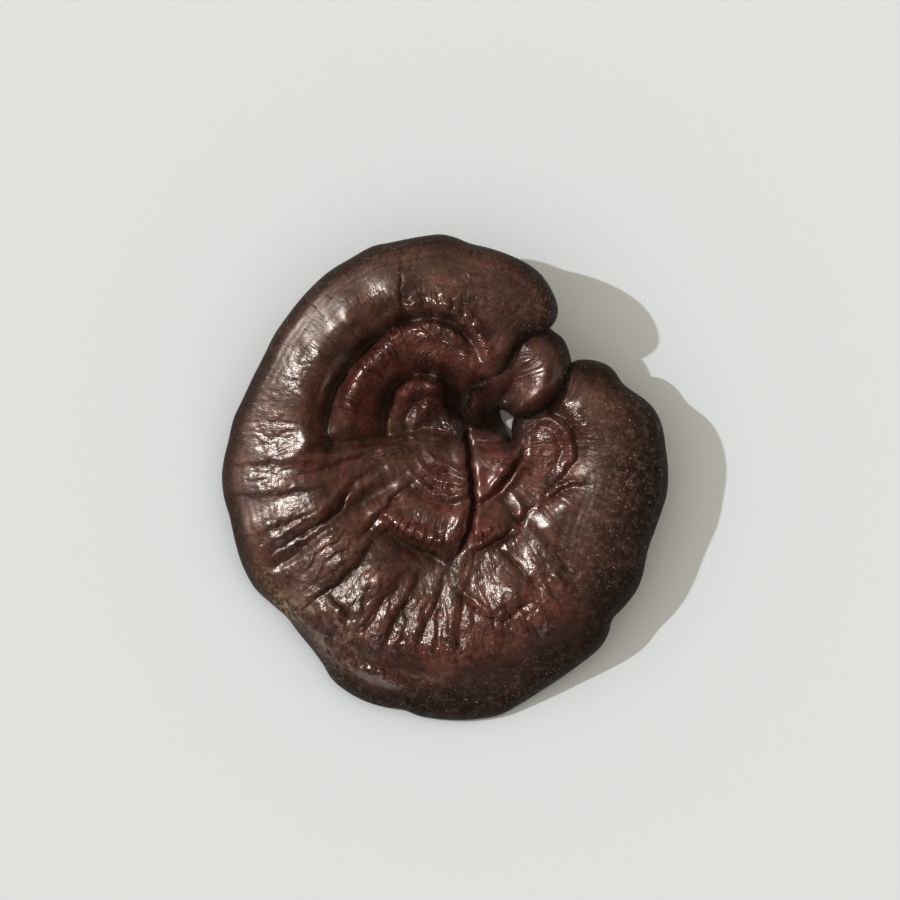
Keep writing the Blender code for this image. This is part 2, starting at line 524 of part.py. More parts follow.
def make_cap(materials):
    fine_outline = smooth_path(CAP_OUTLINE, 8, closed=True)
    outline = even_path(fine_outline, OUTLINE_STEP, closed=True)
    edge = even_path(fine_outline, 1.5, closed=True)
    fine_grid = honeycomb(outline, FOLD_STEP)
    in_folds = (((fine_grid - FOLDED_CENTRE) / FOLDED_SIZE) ** 2).sum(1) < 1
    rim = [(row, 0.45 * offset + 1) for row, offset in zip(rim_rows(outline, edge), RIM_ROWS)]
    upper = spread(outline, edge, [
        *rim,
        *[(line, 0.62 * FOLD_STEP) for line in fold_lines(CAP_FOLDS)],
        (fine_grid[in_folds], 0.72 * FOLD_STEP),
        (honeycomb(outline, OUTER_STEP), 0.78 * OUTER_STEP),
    ])
    lower = spread(outline, edge, [
        *rim[1:],
        *[(ring, 2.0) for ring in stem_rings((0, 0.12, 0.45, 1))],
        (honeycomb(outline, UNDERSIDE_STEP), 0.6 * UNDERSIDE_STEP),
    ])
    return closed_mesh("mushroom", outline, upper, lower, cap_heights, edge, materials)


def make_lobe(materials):
    fine_outline = smooth_path(LOBE_OUTLINE, 8, closed=True)
    outline = even_path(fine_outline, LOBE_OUTLINE_STEP, closed=True)
    edge = even_path(fine_outline, 1.0, closed=True)
    rim = [(row, 0.45 * offset + 1) for row, offset in zip(rim_rows(outline, edge), RIM_ROWS)]
    upper = spread(outline, edge, [*rim, (honeycomb(outline, LOBE_STEP), 0.75 * LOBE_STEP)])
    lower = spread(outline, edge, [*rim[1:], (honeycomb(outline, 2 * LOBE_STEP), 1.4 * LOBE_STEP)])
    return closed_mesh("side_lobe", outline, upper, lower, lobe_heights, edge, materials)


for old in list(bpy.data.objects):
    bpy.data.objects.remove(old)

lacquer = surface_material("lacquered crust", (0.075, 0.022, 0.017), 0.28)
pores = surface_material("pore surface", (0.38, 0.25, 0.14), 0.85)
cap = make_cap([lacquer, pores])
side_lobe = make_lobe([lacquer, pores])

# The side lobe grew from the cap's flesh, so the two are one solid
side_lobe.hide_render = True
side_lobe.display_type = "WIRE"
join = cap.modifiers.new("side lobe", "BOOLEAN")
join.operation = "UNION"
join.solver = "EXACT"
join.object = side_lobe
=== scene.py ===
"""Dried reishi mushroom on a pale table, seen from straight above in low sun from the left."""

import math

import bpy
import numpy as np
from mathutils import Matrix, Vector
from mathutils.geometry import delaunay_2d_cdt
from mathutils.kdtree import KDTree


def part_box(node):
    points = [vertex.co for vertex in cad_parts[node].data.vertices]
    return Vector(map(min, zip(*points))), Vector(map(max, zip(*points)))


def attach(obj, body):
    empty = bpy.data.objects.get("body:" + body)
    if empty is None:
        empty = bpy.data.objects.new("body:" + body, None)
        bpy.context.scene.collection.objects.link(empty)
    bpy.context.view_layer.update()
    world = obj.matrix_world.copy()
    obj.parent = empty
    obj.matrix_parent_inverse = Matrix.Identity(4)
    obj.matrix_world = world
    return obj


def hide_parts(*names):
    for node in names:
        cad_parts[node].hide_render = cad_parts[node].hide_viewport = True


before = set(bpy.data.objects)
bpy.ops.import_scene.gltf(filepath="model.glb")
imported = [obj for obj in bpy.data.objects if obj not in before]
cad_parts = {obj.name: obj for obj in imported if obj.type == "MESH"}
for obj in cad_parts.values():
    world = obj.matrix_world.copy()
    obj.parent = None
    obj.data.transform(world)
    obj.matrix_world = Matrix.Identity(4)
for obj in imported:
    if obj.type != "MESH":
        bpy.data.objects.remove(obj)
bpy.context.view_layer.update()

# Cap: the whole mushroom but for its side lobe. It is dry corky flesh under a thin lacquer-like crust, with a
# pored underside and a cut stem. It grew outwards ring by ring, and wrinkled across the rings as it dried.
# Its plan is in the photograph's pixels, x to the right and y down, and its heights are in millimetres.
cad_low, cad_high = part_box("mushroom")
PLAN_LOW, PLAN_HIGH = (221, 236), (668, 722)  # the cap's box in the plan
CAP_LENGTH = 150  # millimetres
PIXEL = (cad_high.y - cad_low.y) / (PLAN_HIGH[1] - PLAN_LOW[1])
MILLIMETRE = (cad_high.y - cad_low.y) / CAP_LENGTH
PLAN_CENTRE = np.array([(PLAN_LOW[0] + PLAN_HIGH[0]) / 2, (PLAN_LOW[1] + PLAN_HIGH[1]) / 2])
CAP_FLESH, THINNEST_FLESH = 8.5, 3.4  # millimetres
LOW_RIM, HIGH_RIM = 2.5, 4.0  # half the rim's thickness at the foot and at the crown
LOW_RIM_HEIGHT, HIGH_RIM_HEIGHT = 5.0, 24.0
RIM_ROUNDING = 13.0  # pixels from the edge to where the rim is round no more
THICKENING = 60.0  # pixels over which the flesh reaches its full thickness
STEM_CENTRE, STEM_RADIUS, STEM_FLARE = (450, 446), 27, 24  # pixels
CUT_MARGIN = 0.01  # pixels round the cut that stay flat, so that its edge is level

CAP_OUTLINE = [
    (549, 329), (555, 321), (557, 310), (553, 296), (542, 278), (528, 266), (510, 257), (490, 250),
    (470, 245), (455, 239), (442, 236), (428, 237), (410, 240), (390, 244), (372, 248), (350, 260),
    (330, 272), (314, 286), (299, 302), (285, 320), (274, 336), (265, 354), (253, 377), (243, 398),
    (233, 419), (228, 440), (223, 460), (221, 478), (223, 497), (229, 518), (235, 545), (242, 567),
    (254, 589), (272, 606), (286, 618), (298, 634), (311, 650), (322, 665), (331, 680), (345, 692),
    (363, 702), (385, 709), (402, 711), (420, 718), (440, 721), (462, 722), (485, 720), (502, 716),
    (520, 706), (542, 692), (560, 680), (578, 667), (592, 656), (602, 646), (609, 633), (613, 619),
    (626, 605), (637, 590), (643, 574), (648, 550), (655, 530), (662, 510), (667, 492), (668, 472),
    (666, 452), (662, 427), (655, 411), (645, 400), (632, 391), (622, 383), (613, 370), (602, 363),
    (588, 360), (575, 361), (566, 368), (558, 382), (548, 397), (535, 407), (523, 412), (514, 418),
    (512, 427), (512, 436), (511, 440), (509, 434), (506, 426), (502, 419), (500, 411), (499, 401),
    (500, 391), (504, 381), (508, 370), (513, 357), (519, 346), (528, 338), (539, 335),
]

# Heights of the upper surface: x, y, millimetres
CAP_HEIGHTS = [
    # Rim: the top lobe, the crown, the left side, the foot and the right lobe
    (549, 320, 29.5), (547, 297, 30.0), (522, 270, 29.6), (482, 252, 28.8), (440, 243, 28.0),
    (400, 248, 27.0), (355, 264, 25.2), (315, 292, 22.6), (285, 328, 19.8), (258, 375, 15.8),
    (238, 420, 12.0), (229, 470, 9.6), (232, 520, 9.0), (247, 568, 8.0), (280, 606, 7.0), (310, 642, 6.4),
    (342, 684, 6.0), (400, 706, 5.6), (460, 716, 4.6), (515, 703, 5.2), (560, 674, 8.2), (600, 640, 12.0),
    (634, 586, 14.6), (652, 530, 16.0), (662, 480, 17.2), (657, 425, 18.4), (625, 392, 19.8),
    (590, 367, 20.4),
    # Rounded back of the outer zone
    (520, 305, 32.2), (470, 278, 32.0), (420, 275, 31.0), (370, 292, 28.8), (330, 320, 25.8),
    (300, 355, 22.8), (275, 400, 18.8), (242, 440, 12.4), (262, 440, 15.4), (283, 440, 18.4),
    (242, 478, 11.6), (262, 478, 14.4), (283, 478, 17.4), (254, 510, 12.4), (274, 510, 15.2),
    (294, 506, 17.6), (264, 545, 12.2), (286, 540, 14.8), (345, 638, 13.4), (367, 655, 13.0),
    (400, 668, 12.2), (450, 680, 11.0), (510, 664, 12.6), (565, 622, 17.0), (605, 570, 20.4),
    (632, 510, 21.8), (636, 450, 22.8), (610, 405, 23.0), (590, 395, 22.6),
    # Its inner lip, down to the lip over the side lobe
    (500, 330, 30.4), (512, 318, 31.2), (475, 302, 31.2), (440, 292, 31.4), (395, 300, 30.4),
    (350, 325, 28.2), (322, 360, 25.8), (308, 400, 22.7), (300, 440, 20.7), (311, 442, 21.8),
    (508, 358, 28.6), (495, 372, 26.8), (525, 335, 29.5), (489, 342, 28.8), (480, 325, 29.4),
    (464, 312, 29.8),
    # Deep groove inside the lip
    (473, 374, 24.4), (467, 350, 25.4), (447, 322, 26.2), (405, 323, 22.4), (368, 346, 19.6),
    (340, 378, 18.4), (328, 415, 17.4), (326, 440, 17.4),
    # Second ring and the pleated slope inside it
    (460, 364, 23.6), (450, 346, 25.0), (430, 334, 25.2), (400, 342, 24.0), (373, 365, 22.2),
    (356, 392, 20.8), (350, 425, 19.0), (440, 360, 23.4), (420, 356, 23.4), (395, 362, 20.2),
    (372, 395, 17.0), (366, 425, 15.5),
    # Hollow inside the ring, and the small knob in it
    (450, 384, 14.0), (430, 374, 15.5), (400, 380, 13.5), (386, 400, 11.5), (380, 430, 11.5),
    (408, 396, 14.8), (420, 390, 16.4), (434, 388, 18.4), (420, 410, 13.0), (442, 405, 12.0),
    (430, 428, 12.0),
    # Floor of the crevice under the side lobe
    (464, 388, 14.5), (455, 405, 11.5), (470, 412, 11.5), (484, 396, 14.0), (492, 416, 12.0),
    # Seam and the fans below it
    (335, 455, 17.6), (390, 448, 15.5), (435, 438, 14.0), (450, 430, 12.5), (299, 478, 18.8),
    (335, 482, 18.8), (375, 468, 16.5), (314, 503, 19.8), (300, 522, 17.0), (302, 560, 13.8),
    (322, 560, 16.2), (345, 558, 18.8), (365, 520, 17.4), (450, 450, 14.2), (440, 470, 15.0),
    (435, 492, 16.0), (405, 505, 17.6), (430, 520, 19.0), (455, 515, 19.0), (395, 540, 16.4),
    (425, 556, 15.6), (318, 590, 14.2), (340, 588, 16.6), (300, 612, 11.0), (388, 570, 18.8),
    (403, 605, 17.4), (320, 616, 13.4), (344, 612, 15.6), (365, 625, 16.2), (390, 640, 15.6),
    (450, 590, 17.2), (450, 620, 17.4), (440, 652, 15.4), (490, 462, 17.5), (498, 492, 16.5),
    (484, 442, 13.5), (505, 446, 14.5), (490, 525, 18.8), (480, 563, 16.4), (515, 540, 17.2),
    (505, 590, 19.2), (532, 620, 18.0), (490, 640, 16.0), (525, 645, 15.2), (478, 590, 17.0),
    (535, 575, 19.2),
    # Right lobe
    (540, 432, 17.0), (552, 425, 19.0), (566, 442, 19.5), (560, 475, 18.5), (535, 470, 17.0),
    (520, 500, 18.0), (583, 425, 22.6), (598, 460, 23.0), (578, 500, 21.4), (552, 530, 20.4),
    (572, 570, 20.2), (568, 390, 22.0), (556, 404, 19.0), (540, 414, 16.5),
]

# Folds of the upper surface: name, width of the section left and right of the line in pixels, roundness of
# the section, where 2 is round and less is sharper, and the line: x, y, millimetres up or down
CAP_FOLDS = [
    ("outer lip", 12, 5, 2, [
        (306, 452, 0.4), (310, 418, 0.7), (319, 388, 0.8), (334, 360, 0.9), (354, 338, 1.0), (377, 320, 1.2),
        (402, 311, 1.2), (430, 305, 0.9), (457, 309, 0.5), (478, 323, 0.3)]),
    ("groove under the lip", 6, 6, 2, [
        (326, 448, -1.0), (325, 420, -2.0), (333, 392, -2.4), (348, 368, -2.6), (368, 346, -2.8),
        (392, 329, -2.6), (412, 321, -2.0), (428, 317, -0.6)]),
    ("end of the groove under the lip", 9, 4.5, 2, [
        (414, 320, -0.4), (430, 317, -1.4), (446, 320, -1.8), (459, 329, -1.8), (467, 343, -1.7),
        (471, 356, -1.3), (472, 367, -0.6)]),
    ("shelf inside the lip", 8, 4.5, 3, [
        (398, 314, 0.2), (405, 311, 1.2), (413, 310, 2.0), (424, 309, 1.6), (432, 310, 1.6), (446, 313, 2.5),
        (458, 318, 2.5), (468, 326, 2.0), (476, 336, 1.4), (483, 350, 0.5)]),
    ("second ring", 7.5, 11, 3, [
        (346, 436, 0.2), (344, 420, 0.9), (348, 405, 1.5), (354, 388, 1.8), (363, 374, 1.8), (370, 368, 1.0),
        (377, 362, 1.9), (384, 352, 1.9), (394, 343, 1.8), (410, 334, 1.6), (425, 331, 1.6), (440, 332, 1.6),
        (453, 339, 1.6), (464, 349, 1.4), (470, 362, 1.0), (470, 374, 0.4)]),
    ("crease of the second ring", 2, 2, 1.5, [(356, 362, -0.6), (368, 369, -1.6), (380, 378, -0.6)]),
    ("knob", 6, 9, 3, [
        (392, 430, 0.6), (393, 412, 1.6), (400, 397, 2.2), (411, 388, 2.6), (424, 384, 2.8), (436, 387, 2.6),
        (441, 397, 1.2)]),
    ("inside of the knob", 4, 5, 2, [
        (406, 430, -0.3), (407, 415, -1.0), (414, 403, -1.6), (426, 397, -1.8), (436, 400, -1.2)]),
    ("arc in the knob", 2.5, 3, 2, [(414, 427, 0.3), (419, 418, 0.5), (426, 411, 0.4), (432, 409, 0.2)]),
    ("moat round the knob", 6, 5, 2, [
        (382, 432, -0.8), (383, 410, -1.8), (391, 391, -2.0), (405, 378, -2.0), (425, 374, -1.8),
        (444, 380, -1.2)]),
    ("seam", 3, 8, 2, [
        (312, 456, 0.3), (340, 453, 0.9), (360, 450, 1.2), (380, 446, 1.3), (400, 443, 1.3), (420, 439, 1.2),
        (440, 437, 0.5)]),
    ("ditch above the seam", 6, 5, 2, [
        (318, 446, -1.2), (345, 443, -1.8), (370, 438, -1.8), (395, 434, -1.8), (418, 430, -1.6),
        (438, 427, -0.8)]),
    ("crevice under the side lobe", 11, 10, 3, [
        (446, 384, -1.5), (450, 396, -2.5), (459, 406, -3.5), (472, 412, -5.5), (486, 417, -8.0),
        (498, 421, -9.8), (506, 424, -10.5)]),
    ("split", 2.8, 2.8, 1.6, [
        (466, 432, -3.0), (468, 450, -4.5), (470, 470, -4.5), (472, 490, -4.5), (473, 505, -4.5),
        (471, 520, -4.5), (467, 534, -4.0), (461, 547, -3.0), (454, 559, -1.0)]),
    ("left bank of the split", 8, 5, 2, [
        (456, 440, 0.2), (459, 470, 0.6), (461, 500, 1.0), (459, 520, 1.5), (453, 537, 1.5),
        (446, 555, 0.8)]),
    ("right bank of the split", 5, 6, 2, [
        (477, 445, 0.2), (479, 470, 0.5), (480, 500, 0.6), (479, 520, 0.8), (473, 540, 0.6)]),
    ("first terrace", 4, 2.5, 2, [
        (424, 448, 0.3), (431, 457, 0.9), (440, 464, 1.1), (452, 468, 1.1), (463, 474, 0.6)]),
    ("foot of the first terrace", 2, 3, 2, [
        (421, 454, -0.3), (428, 464, -0.8), (438, 471, -1.0), (450, 474, -0.9), (462, 479, -0.4)]),
    ("second terrace", 4, 2.5, 2, [
        (418, 462, 0.3), (427, 472, 0.9), (437, 480, 1.1), (450, 483, 1.1), (464, 483, 0.6)]),
    ("foot of the second terrace", 2, 3, 2, [
        (415, 469, -0.3), (424, 480, -0.8), (436, 487, -0.9), (450, 489, -0.8), (464, 488, -0.4)]),
    ("third terrace", 4, 3, 2, [
        (412, 472, 0.3), (422, 484, 1.0), (433, 492, 1.3), (450, 496, 1.3), (466, 493, 0.8)]),
    ("foot of the terraces", 3, 5, 2, [
        (406, 475, -0.4), (416, 492, -1.0), (432, 501, -1.4), (450, 504, -1.4), (467, 500, -0.8)]),
    ("edge of the pillow", 9, 4, 2, [
        (371, 524, 0.2), (379, 514, 1.0), (390, 516, 1.9), (402, 526, 2.2), (415, 533, 2.2), (428, 539, 2.2),
        (441, 543, 1.8), (447, 536, 0.6)]),
    ("valley under the pillow", 4, 8, 2, [
        (376, 530, -0.8), (388, 532, -1.8), (402, 543, -2.2), (418, 551, -2.2), (436, 557, -1.8),
        (450, 564, -0.8)]),
    ("pillow right of the split", 7, 3.5, 2, [
        (474, 534, 0.8), (488, 528, 1.2), (500, 524, 1.0), (509, 520, 0.4)]),
    ("second edge right of the split", 4, 2.5, 2, [
        (474, 548, 1.0), (484, 543, 1.3), (494, 537, 1.3), (505, 530, 0.7)]),
    ("crack right of the split", 2, 2, 1.5, [
        (474, 552, -1.0), (482, 548, -2.0), (491, 542, -2.4), (502, 536, -1.6), (510, 529, -0.5)]),
    ("valley right of the split", 3, 7, 2, [
        (474, 556, -0.6), (486, 551, -1.2), (500, 544, -1.2), (512, 537, -0.6)]),
    ("flank of the heart", 2.4, 8, 2, [
        (517, 456, 0.4), (509, 468, 1.6), (502, 478, 2.4), (494, 489, 2.2), (486, 497, 0.8)]),
    ("groove round the heart", 3, 2.5, 1.8, [
        (526, 449, -0.5), (518, 461, -2.0), (508, 474, -2.8), (498, 486, -2.8), (489, 497, -1.8),
        (478, 503, -1.0)]),
    ("rim beyond the heart", 5, 2.5, 2, [
        (531, 454, 0.2), (521, 466, 0.9), (510, 480, 1.2), (500, 492, 0.9), (488, 503, 0.4)]),
    ("top of the heart", 3, 5, 2, [(476, 450, 0.2), (488, 452, 0.6), (504, 453, 0.6), (518, 448, 0.3)]),
    ("ditch above the heart", 4, 3, 2, [
        (476, 446, -0.6), (490, 447, -1.2), (506, 446, -1.2), (518, 442, -0.6)]),
    ("bank above the heart", 4, 4, 2, [(477, 441, 0.4), (486, 439, 1.2), (497, 441, 0.9), (506, 444, 0.3)]),
    ("ring of the right lobe", 2.6, 6, 2, [
        (526, 429, 0.4), (534, 423, 1.2), (542, 419, 1.7), (550, 418, 1.9), (557, 423, 1.9), (565, 432, 1.8),
        (570, 443, 1.5), (571, 455, 1.2), (568, 467, 0.6)]),
    ("inside of that ring", 3, 4, 2, [
        (534, 431, -0.3), (544, 427, -0.9), (553, 431, -1.1), (559, 440, -1.1), (561, 452, -0.9),
        (557, 465, -0.4)]),
    ("groove outside that ring", 8, 3, 2, [
        (538, 412, -1.2), (550, 411, -1.5), (560, 416, -1.7), (569, 427, -1.7), (575, 440, -1.5),
        (577, 454, -1.3), (569, 468, -1.1), (559, 480, -1.1), (550, 491, -1.0), (543, 502, -0.5)]),
    ("right radial fold", 3, 2, 1.6, [(546, 497, 0.5), (556, 488, 1.0), (567, 483, 1.0), (582, 480, 0.5)]),
    ("right radial crease", 1.8, 4, 1.5, [
        (546, 503, -0.5), (558, 493, -1.1), (569, 488, -0.9), (584, 485, -0.4)]),
    ("tongue crease", 2.4, 2.4, 1.5, [
        (502, 500, -0.4), (509, 508, -1.0), (515, 517, -1.5), (520, 524, -1.7), (524, 519, -1.4),
        (528, 511, -0.9), (533, 506, -0.3)]),
    ("tongue", 4, 5, 2, [(514, 496, 0.3), (519, 505, 0.9), (521, 514, 1.1)]),
    ("bulge crease", 2, 3, 1.5, [(530, 522, -0.4), (538, 533, -1.0), (547, 543, -1.0), (556, 552, -0.5)]),
    ("first fan of the west rim", 14, 2.2, 2, [
        (246, 463, 0.2), (262, 461, 0.9), (284, 460, 1.0), (306, 461, 0.4)]),
    ("second fan of the west rim", 13, 2.2, 2, [
        (246, 494, 0.2), (264, 492, 0.9), (284, 490, 1.1), (304, 487, 0.8), (324, 485, 0.2)]),
    ("third fan of the west rim", 13, 2.4, 2, [
        (254, 534, 0.2), (272, 526, 1.0), (292, 518, 1.2), (308, 512, 0.9), (322, 505, 0.3)]),
    ("upper crease", 2, 2.5, 1.4, [
        (298, 475, -0.3), (313, 473, -0.8), (332, 467, -1.1), (348, 461, -1.0), (366, 456, -0.4)]),
    ("middle crease", 3, 4, 1.6, [
        (385, 466, -0.4), (364, 477, -1.0), (350, 488, -1.8), (342, 503, -2.6), (330, 517, -2.8),
        (318, 524, -2.4), (304, 533, -1.8), (288, 543, -1.4), (272, 552, -0.8)]),
    ("middle valley", 5, 8, 2, [
        (334, 526, -0.6), (318, 538, -1.4), (302, 550, -2.0), (286, 560, -1.8), (272, 568, -0.8)]),
    ("fold above the middle crease", 8, 4, 2, [
        (356, 476, 0.3), (338, 494, 0.6), (322, 510, 1.0), (304, 521, 1.2), (284, 532, 1.0),
        (268, 542, 0.5)]),
    ("trough beside the lower crease", 8, 8, 2, [
        (398, 478, -0.6), (380, 490, -1.8), (364, 500, -2.4), (350, 510, -2.0), (338, 520, -0.8)]),
    ("lower crease", 2.4, 2.4, 1.5, [
        (410, 484, -0.6), (396, 497, -1.6), (384, 510, -2.0), (372, 525, -1.6), (360, 538, -0.6)]),
    ("fold of the west fan", 6, 4, 2, [(348, 524, 0.4), (335, 532, 0.9), (320, 541, 0.8), (306, 550, 0.3)]),
    ("foot crease", 15, 3.2, 1.8, [
        (382, 534, -0.4), (369, 549, -1.5), (355, 566, -2.2), (341, 581, -2.2), (327, 592, -1.7),
        (312, 602, -0.8)]),
    ("crease under the foot hump", 11, 2.6, 1.8, [
        (404, 572, -0.4), (396, 584, -1.4), (386, 596, -1.5), (375, 610, -1.2), (366, 624, -0.4)]),
    ("south west crease", 14, 3, 1.8, [
        (424, 568, -0.4), (415, 584, -1.7), (407, 600, -2.0), (397, 615, -2.0), (389, 630, -1.5),
        (382, 644, -0.6)]),
    ("south crease", 13, 3, 1.8, [
        (446, 572, -0.4), (440, 592, -1.4), (433, 611, -1.7), (424, 628, -1.4), (414, 646, -0.6)]),
    ("second south crease", 12, 3, 1.8, [
        (466, 584, -0.3), (463, 602, -1.0), (461, 620, -1.2), (458, 640, -1.0), (455, 656, -0.4)]),
    ("south east crease", 13, 3, 1.8, [
        (504, 606, -0.4), (505, 622, -1.2), (504, 640, -1.0), (500, 654, -0.4)]),
    ("crease of the foot rim", 11, 3, 1.8, [
        (352, 606, -0.4), (344, 618, -1.0), (336, 632, -0.9), (332, 644, -0.3)]),
    ("south hump edge", 3, 2.5, 1.6, [
        (458, 585, 0.3), (466, 593, 0.8), (474, 600, 1.0), (482, 606, 1.0), (489, 612, 0.6)]),
    ("ditch under that edge", 2, 3, 1.6, [
        (456, 590, -0.4), (464, 598, -0.8), (473, 606, -1.1), (482, 612, -1.2), (492, 618, -1.2),
        (502, 620, -1.2), (512, 613, -1.6), (522, 605, -1.4), (534, 600, -0.6)]),
    ("diagonal crease", 2.2, 2.2, 1.5, [
        (500, 548, -0.6), (508, 556, -1.4), (517, 566, -1.8), (527, 576, -1.6), (538, 587, -0.8)]),
    ("pit", 6, 7, 2, [(550, 548, -0.6), (560, 556, -1.6), (566, 566, -1.6), (574, 572, -0.6)]),
    ("pit rim", 2.2, 3, 2, [(553, 570, 0.3), (558, 577, 1.1), (564, 585, 0.5)]),
    ("end of the wrinkles", 12, 14, 2, [
        (352, 640, 0.2), (375, 652, 0.4), (405, 664, 0.5), (440, 668, 0.6), (475, 662, 0.6), (505, 654, 0.6),
        (532, 642, 0.4), (552, 626, 0.2)]),
    ("furrow inside the rim", 4, 5, 2, [
        (310, 602, -0.4), (332, 634, -0.4), (356, 655, -0.8), (380, 667, -0.9), (405, 676, -0.7),
        (440, 684, -0.4)]),
    ("bead on the rim", 5, 6, 2, [(368, 668, 0.4), (383, 674, 1.0), (398, 680, 0.6)]),
    ("foot ridge", 4, 4, 2, [(326, 598, 0.3), (334, 608, 0.9), (341, 619, 0.9), (346, 630, 0.3)]),
    ("ditch beside the foot ridge", 2, 2, 1.6, [(332, 596, -0.5), (342, 607, -1.0), (350, 619, -0.8)]),
    ("crack at the top", 1.5, 1.5, 1.3, [
        (402, 262, -0.2), (401, 285, -0.6), (402, 305, -1.2), (402, 320, -0.6)]),
]

# Bumps and dents: x, y, half width, half height, degrees turned, millimetres
CAP_BUMPS = [
    (506, 466, 12, 12, 30, 1.8),  # heart
    (486, 494, 8, 7, 0, 0.8),
    (522, 443, 13, 15, 0, 1.0),  # inside the right lobe's ring
    (514, 589, 14, 13, -20, 1.6),  # south hump
    (542, 618, 16, 12, -25, 1.0), (535, 565, 9, 12, -30, 1.0), (548, 525, 13, 12, 0, 1.0),
    (568, 505, 12, 8, -30, 0.9),
    (380, 578, 14, 14, 0, 1.0),  # foot hump
    (412, 598, 8, 10, 20, 0.9), (402, 642, 10, 9, 30, 0.8), (378, 636, 12, 10, 0, 1.2),
    (356, 610, 9, 12, -30, 0.8),
    (330, 560, 18, 14, -35, 0.9),  # west fan
    (416, 308, 6, 9, 0, 1.1),  # pleats of the lip over the groove
    (445, 309, 5, 9, 0, 0.9), (456, 312, 4, 8, 20, 0.9), (466, 319, 4, 8, 35, 0.8), (475, 328, 4, 8, 50, 0.8),
    (428, 309, 4, 8, 0, 0.6),
]

# Where the crust wrinkled or differs: x, y, half width and height, degrees turned, strength
WRINKLED = [
    (450, 628, 75, 38, 0, 1.0), (400, 625, 45, 40, 0, 0.8), (520, 620, 40, 35, -20, 0.8),
    (360, 610, 35, 35, 0, 0.5), (455, 560, 60, 16, 0, 0.5), (545, 585, 30, 40, 0, 0.6),
    (470, 595, 45, 25, 0, 0.5), (325, 555, 45, 38, -30, 0.5),
]
CRACKLED = [
    (278, 440, 26, 30, 0, 1.0), (272, 478, 26, 20, 0, 1.0), (295, 520, 42, 26, -30, 1.0),
    (325, 560, 42, 36, -30, 1.0), (375, 575, 26, 30, 0, 1.0), (340, 620, 26, 34, -35, 1.0),
    (370, 640, 28, 24, 0, 1.0), (300, 375, 22, 30, 20, 0.7), (385, 675, 40, 14, 15, 0.7),
    (345, 660, 30, 20, 30, 0.8), (410, 600, 30, 30, 0, 0.6), (520, 600, 45, 40, 0, 0.7),
    (545, 560, 25, 25, 0, 0.6), (480, 565, 40, 20, 0, 0.6), (590, 500, 40, 80, 0, 0.35),
    (260, 400, 24, 40, 20, 0.5),
]
PLEATED = [
    (420, 345, 55, 22, 0, 0.6), (372, 380, 22, 45, 25, 0.5), (455, 350, 22, 25, 0, 0.8),
    (420, 530, 60, 20, 15, 0.8), (545, 445, 30, 32, 0, 0.6), (545, 482, 34, 28, 0, 0.8),
    (495, 535, 30, 16, 0, 1.0), (425, 303, 60, 12, 0, 1.0), (420, 390, 26, 14, 0, 0.9),
    (435, 480, 32, 26, 0, 0.4), (575, 430, 22, 30, 0, 0.4), (340, 350, 40, 16, -45, 0.3),
    (353, 398, 9, 18, 15, 2.0), (376, 358, 12, 18, 45, 2.0), (396, 337, 16, 9, -30, 2.0),
    (425, 331, 22, 8, 0, 2.4), (452, 338, 14, 9, 35, 2.2), (468, 356, 8, 16, -15, 1.6),
    (460, 312, 16, 9, 30, 1.8), (478, 330, 9, 16, -30, 1.8), (487, 352, 8, 16, -10, 1.2),
    (418, 386, 20, 7, 0, 1.8), (418, 533, 28, 7, 22, 1.8), (488, 533, 16, 6, -20, 1.6),
    (425, 361, 20, 10, 0, 1.2), (573, 417, 9, 20, -50, 1.2), (446, 431, 22, 12, 0, 1.3),
    (424, 411, 16, 14, 0, 1.1), (436, 480, 24, 22, 0, 0.6), (500, 462, 16, 10, 0, 0.5),
    (395, 452, 40, 7, -4, 0.8), (446, 311, 16, 9, 10, 1.4), (467, 325, 9, 13, -40, 1.4),
    (411, 308, 11, 9, 0, 1.5), (482, 342, 7, 14, -20, 1.3), (525, 616, 38, 24, -25, 0.9),
    (425, 645, 52, 15, 10, 0.9), (560, 585, 18, 28, 0, 0.5), (372, 672, 38, 9, 22, 1.2),
    (338, 646, 14, 24, -35, 1.1), (382, 676, 22, 8, 30, 1.3), (332, 612, 12, 20, -40, 0.8),
]
SHINGLED = [
    (353, 398, 8, 16, 15, 0.7), (376, 358, 11, 16, 45, 0.7), (396, 340, 16, 10, -30, 1.1),
    (425, 335, 22, 11, 0, 1.5), (453, 342, 14, 10, 35, 1.6), (467, 357, 7, 14, -15, 0.8),
    (425, 361, 22, 9, 0, 1.0), (410, 306, 12, 8, 0, 1.2), (444, 306, 14, 9, 10, 1.5),
    (466, 318, 10, 9, 45, 1.5), (482, 340, 7, 14, -25, 1.2), (420, 386, 18, 6, 0, 1.4),
    (415, 530, 26, 7, 22, 1.5), (440, 538, 12, 6, 0, 1.5), (488, 533, 14, 6, -20, 1.2),
    (400, 625, 40, 35, 0, 0.4), (450, 630, 60, 34, 0, 0.45), (528, 616, 32, 22, -20, 0.6),
    (365, 600, 24, 30, 0, 0.3), (330, 558, 26, 16, -35, 0.7), (545, 590, 20, 20, 0, 0.3),
]
RED = [
    (415, 360, 55, 32, 0, 1.0), (420, 400, 30, 26, 0, 1.0), (400, 520, 60, 30, 15, 0.8),
    (492, 475, 26, 32, 0, 1.0), (545, 462, 36, 42, 0, 0.9), (455, 630, 90, 45, 0, 0.6),
    (480, 360, 22, 40, 0, 0.8), (365, 400, 26, 45, 20, 0.8), (455, 520, 60, 24, 0, 0.9),
    (530, 600, 60, 50, 0, 0.4), (440, 480, 30, 30, 0, 0.5), (340, 470, 60, 30, 0, 0.5),
]
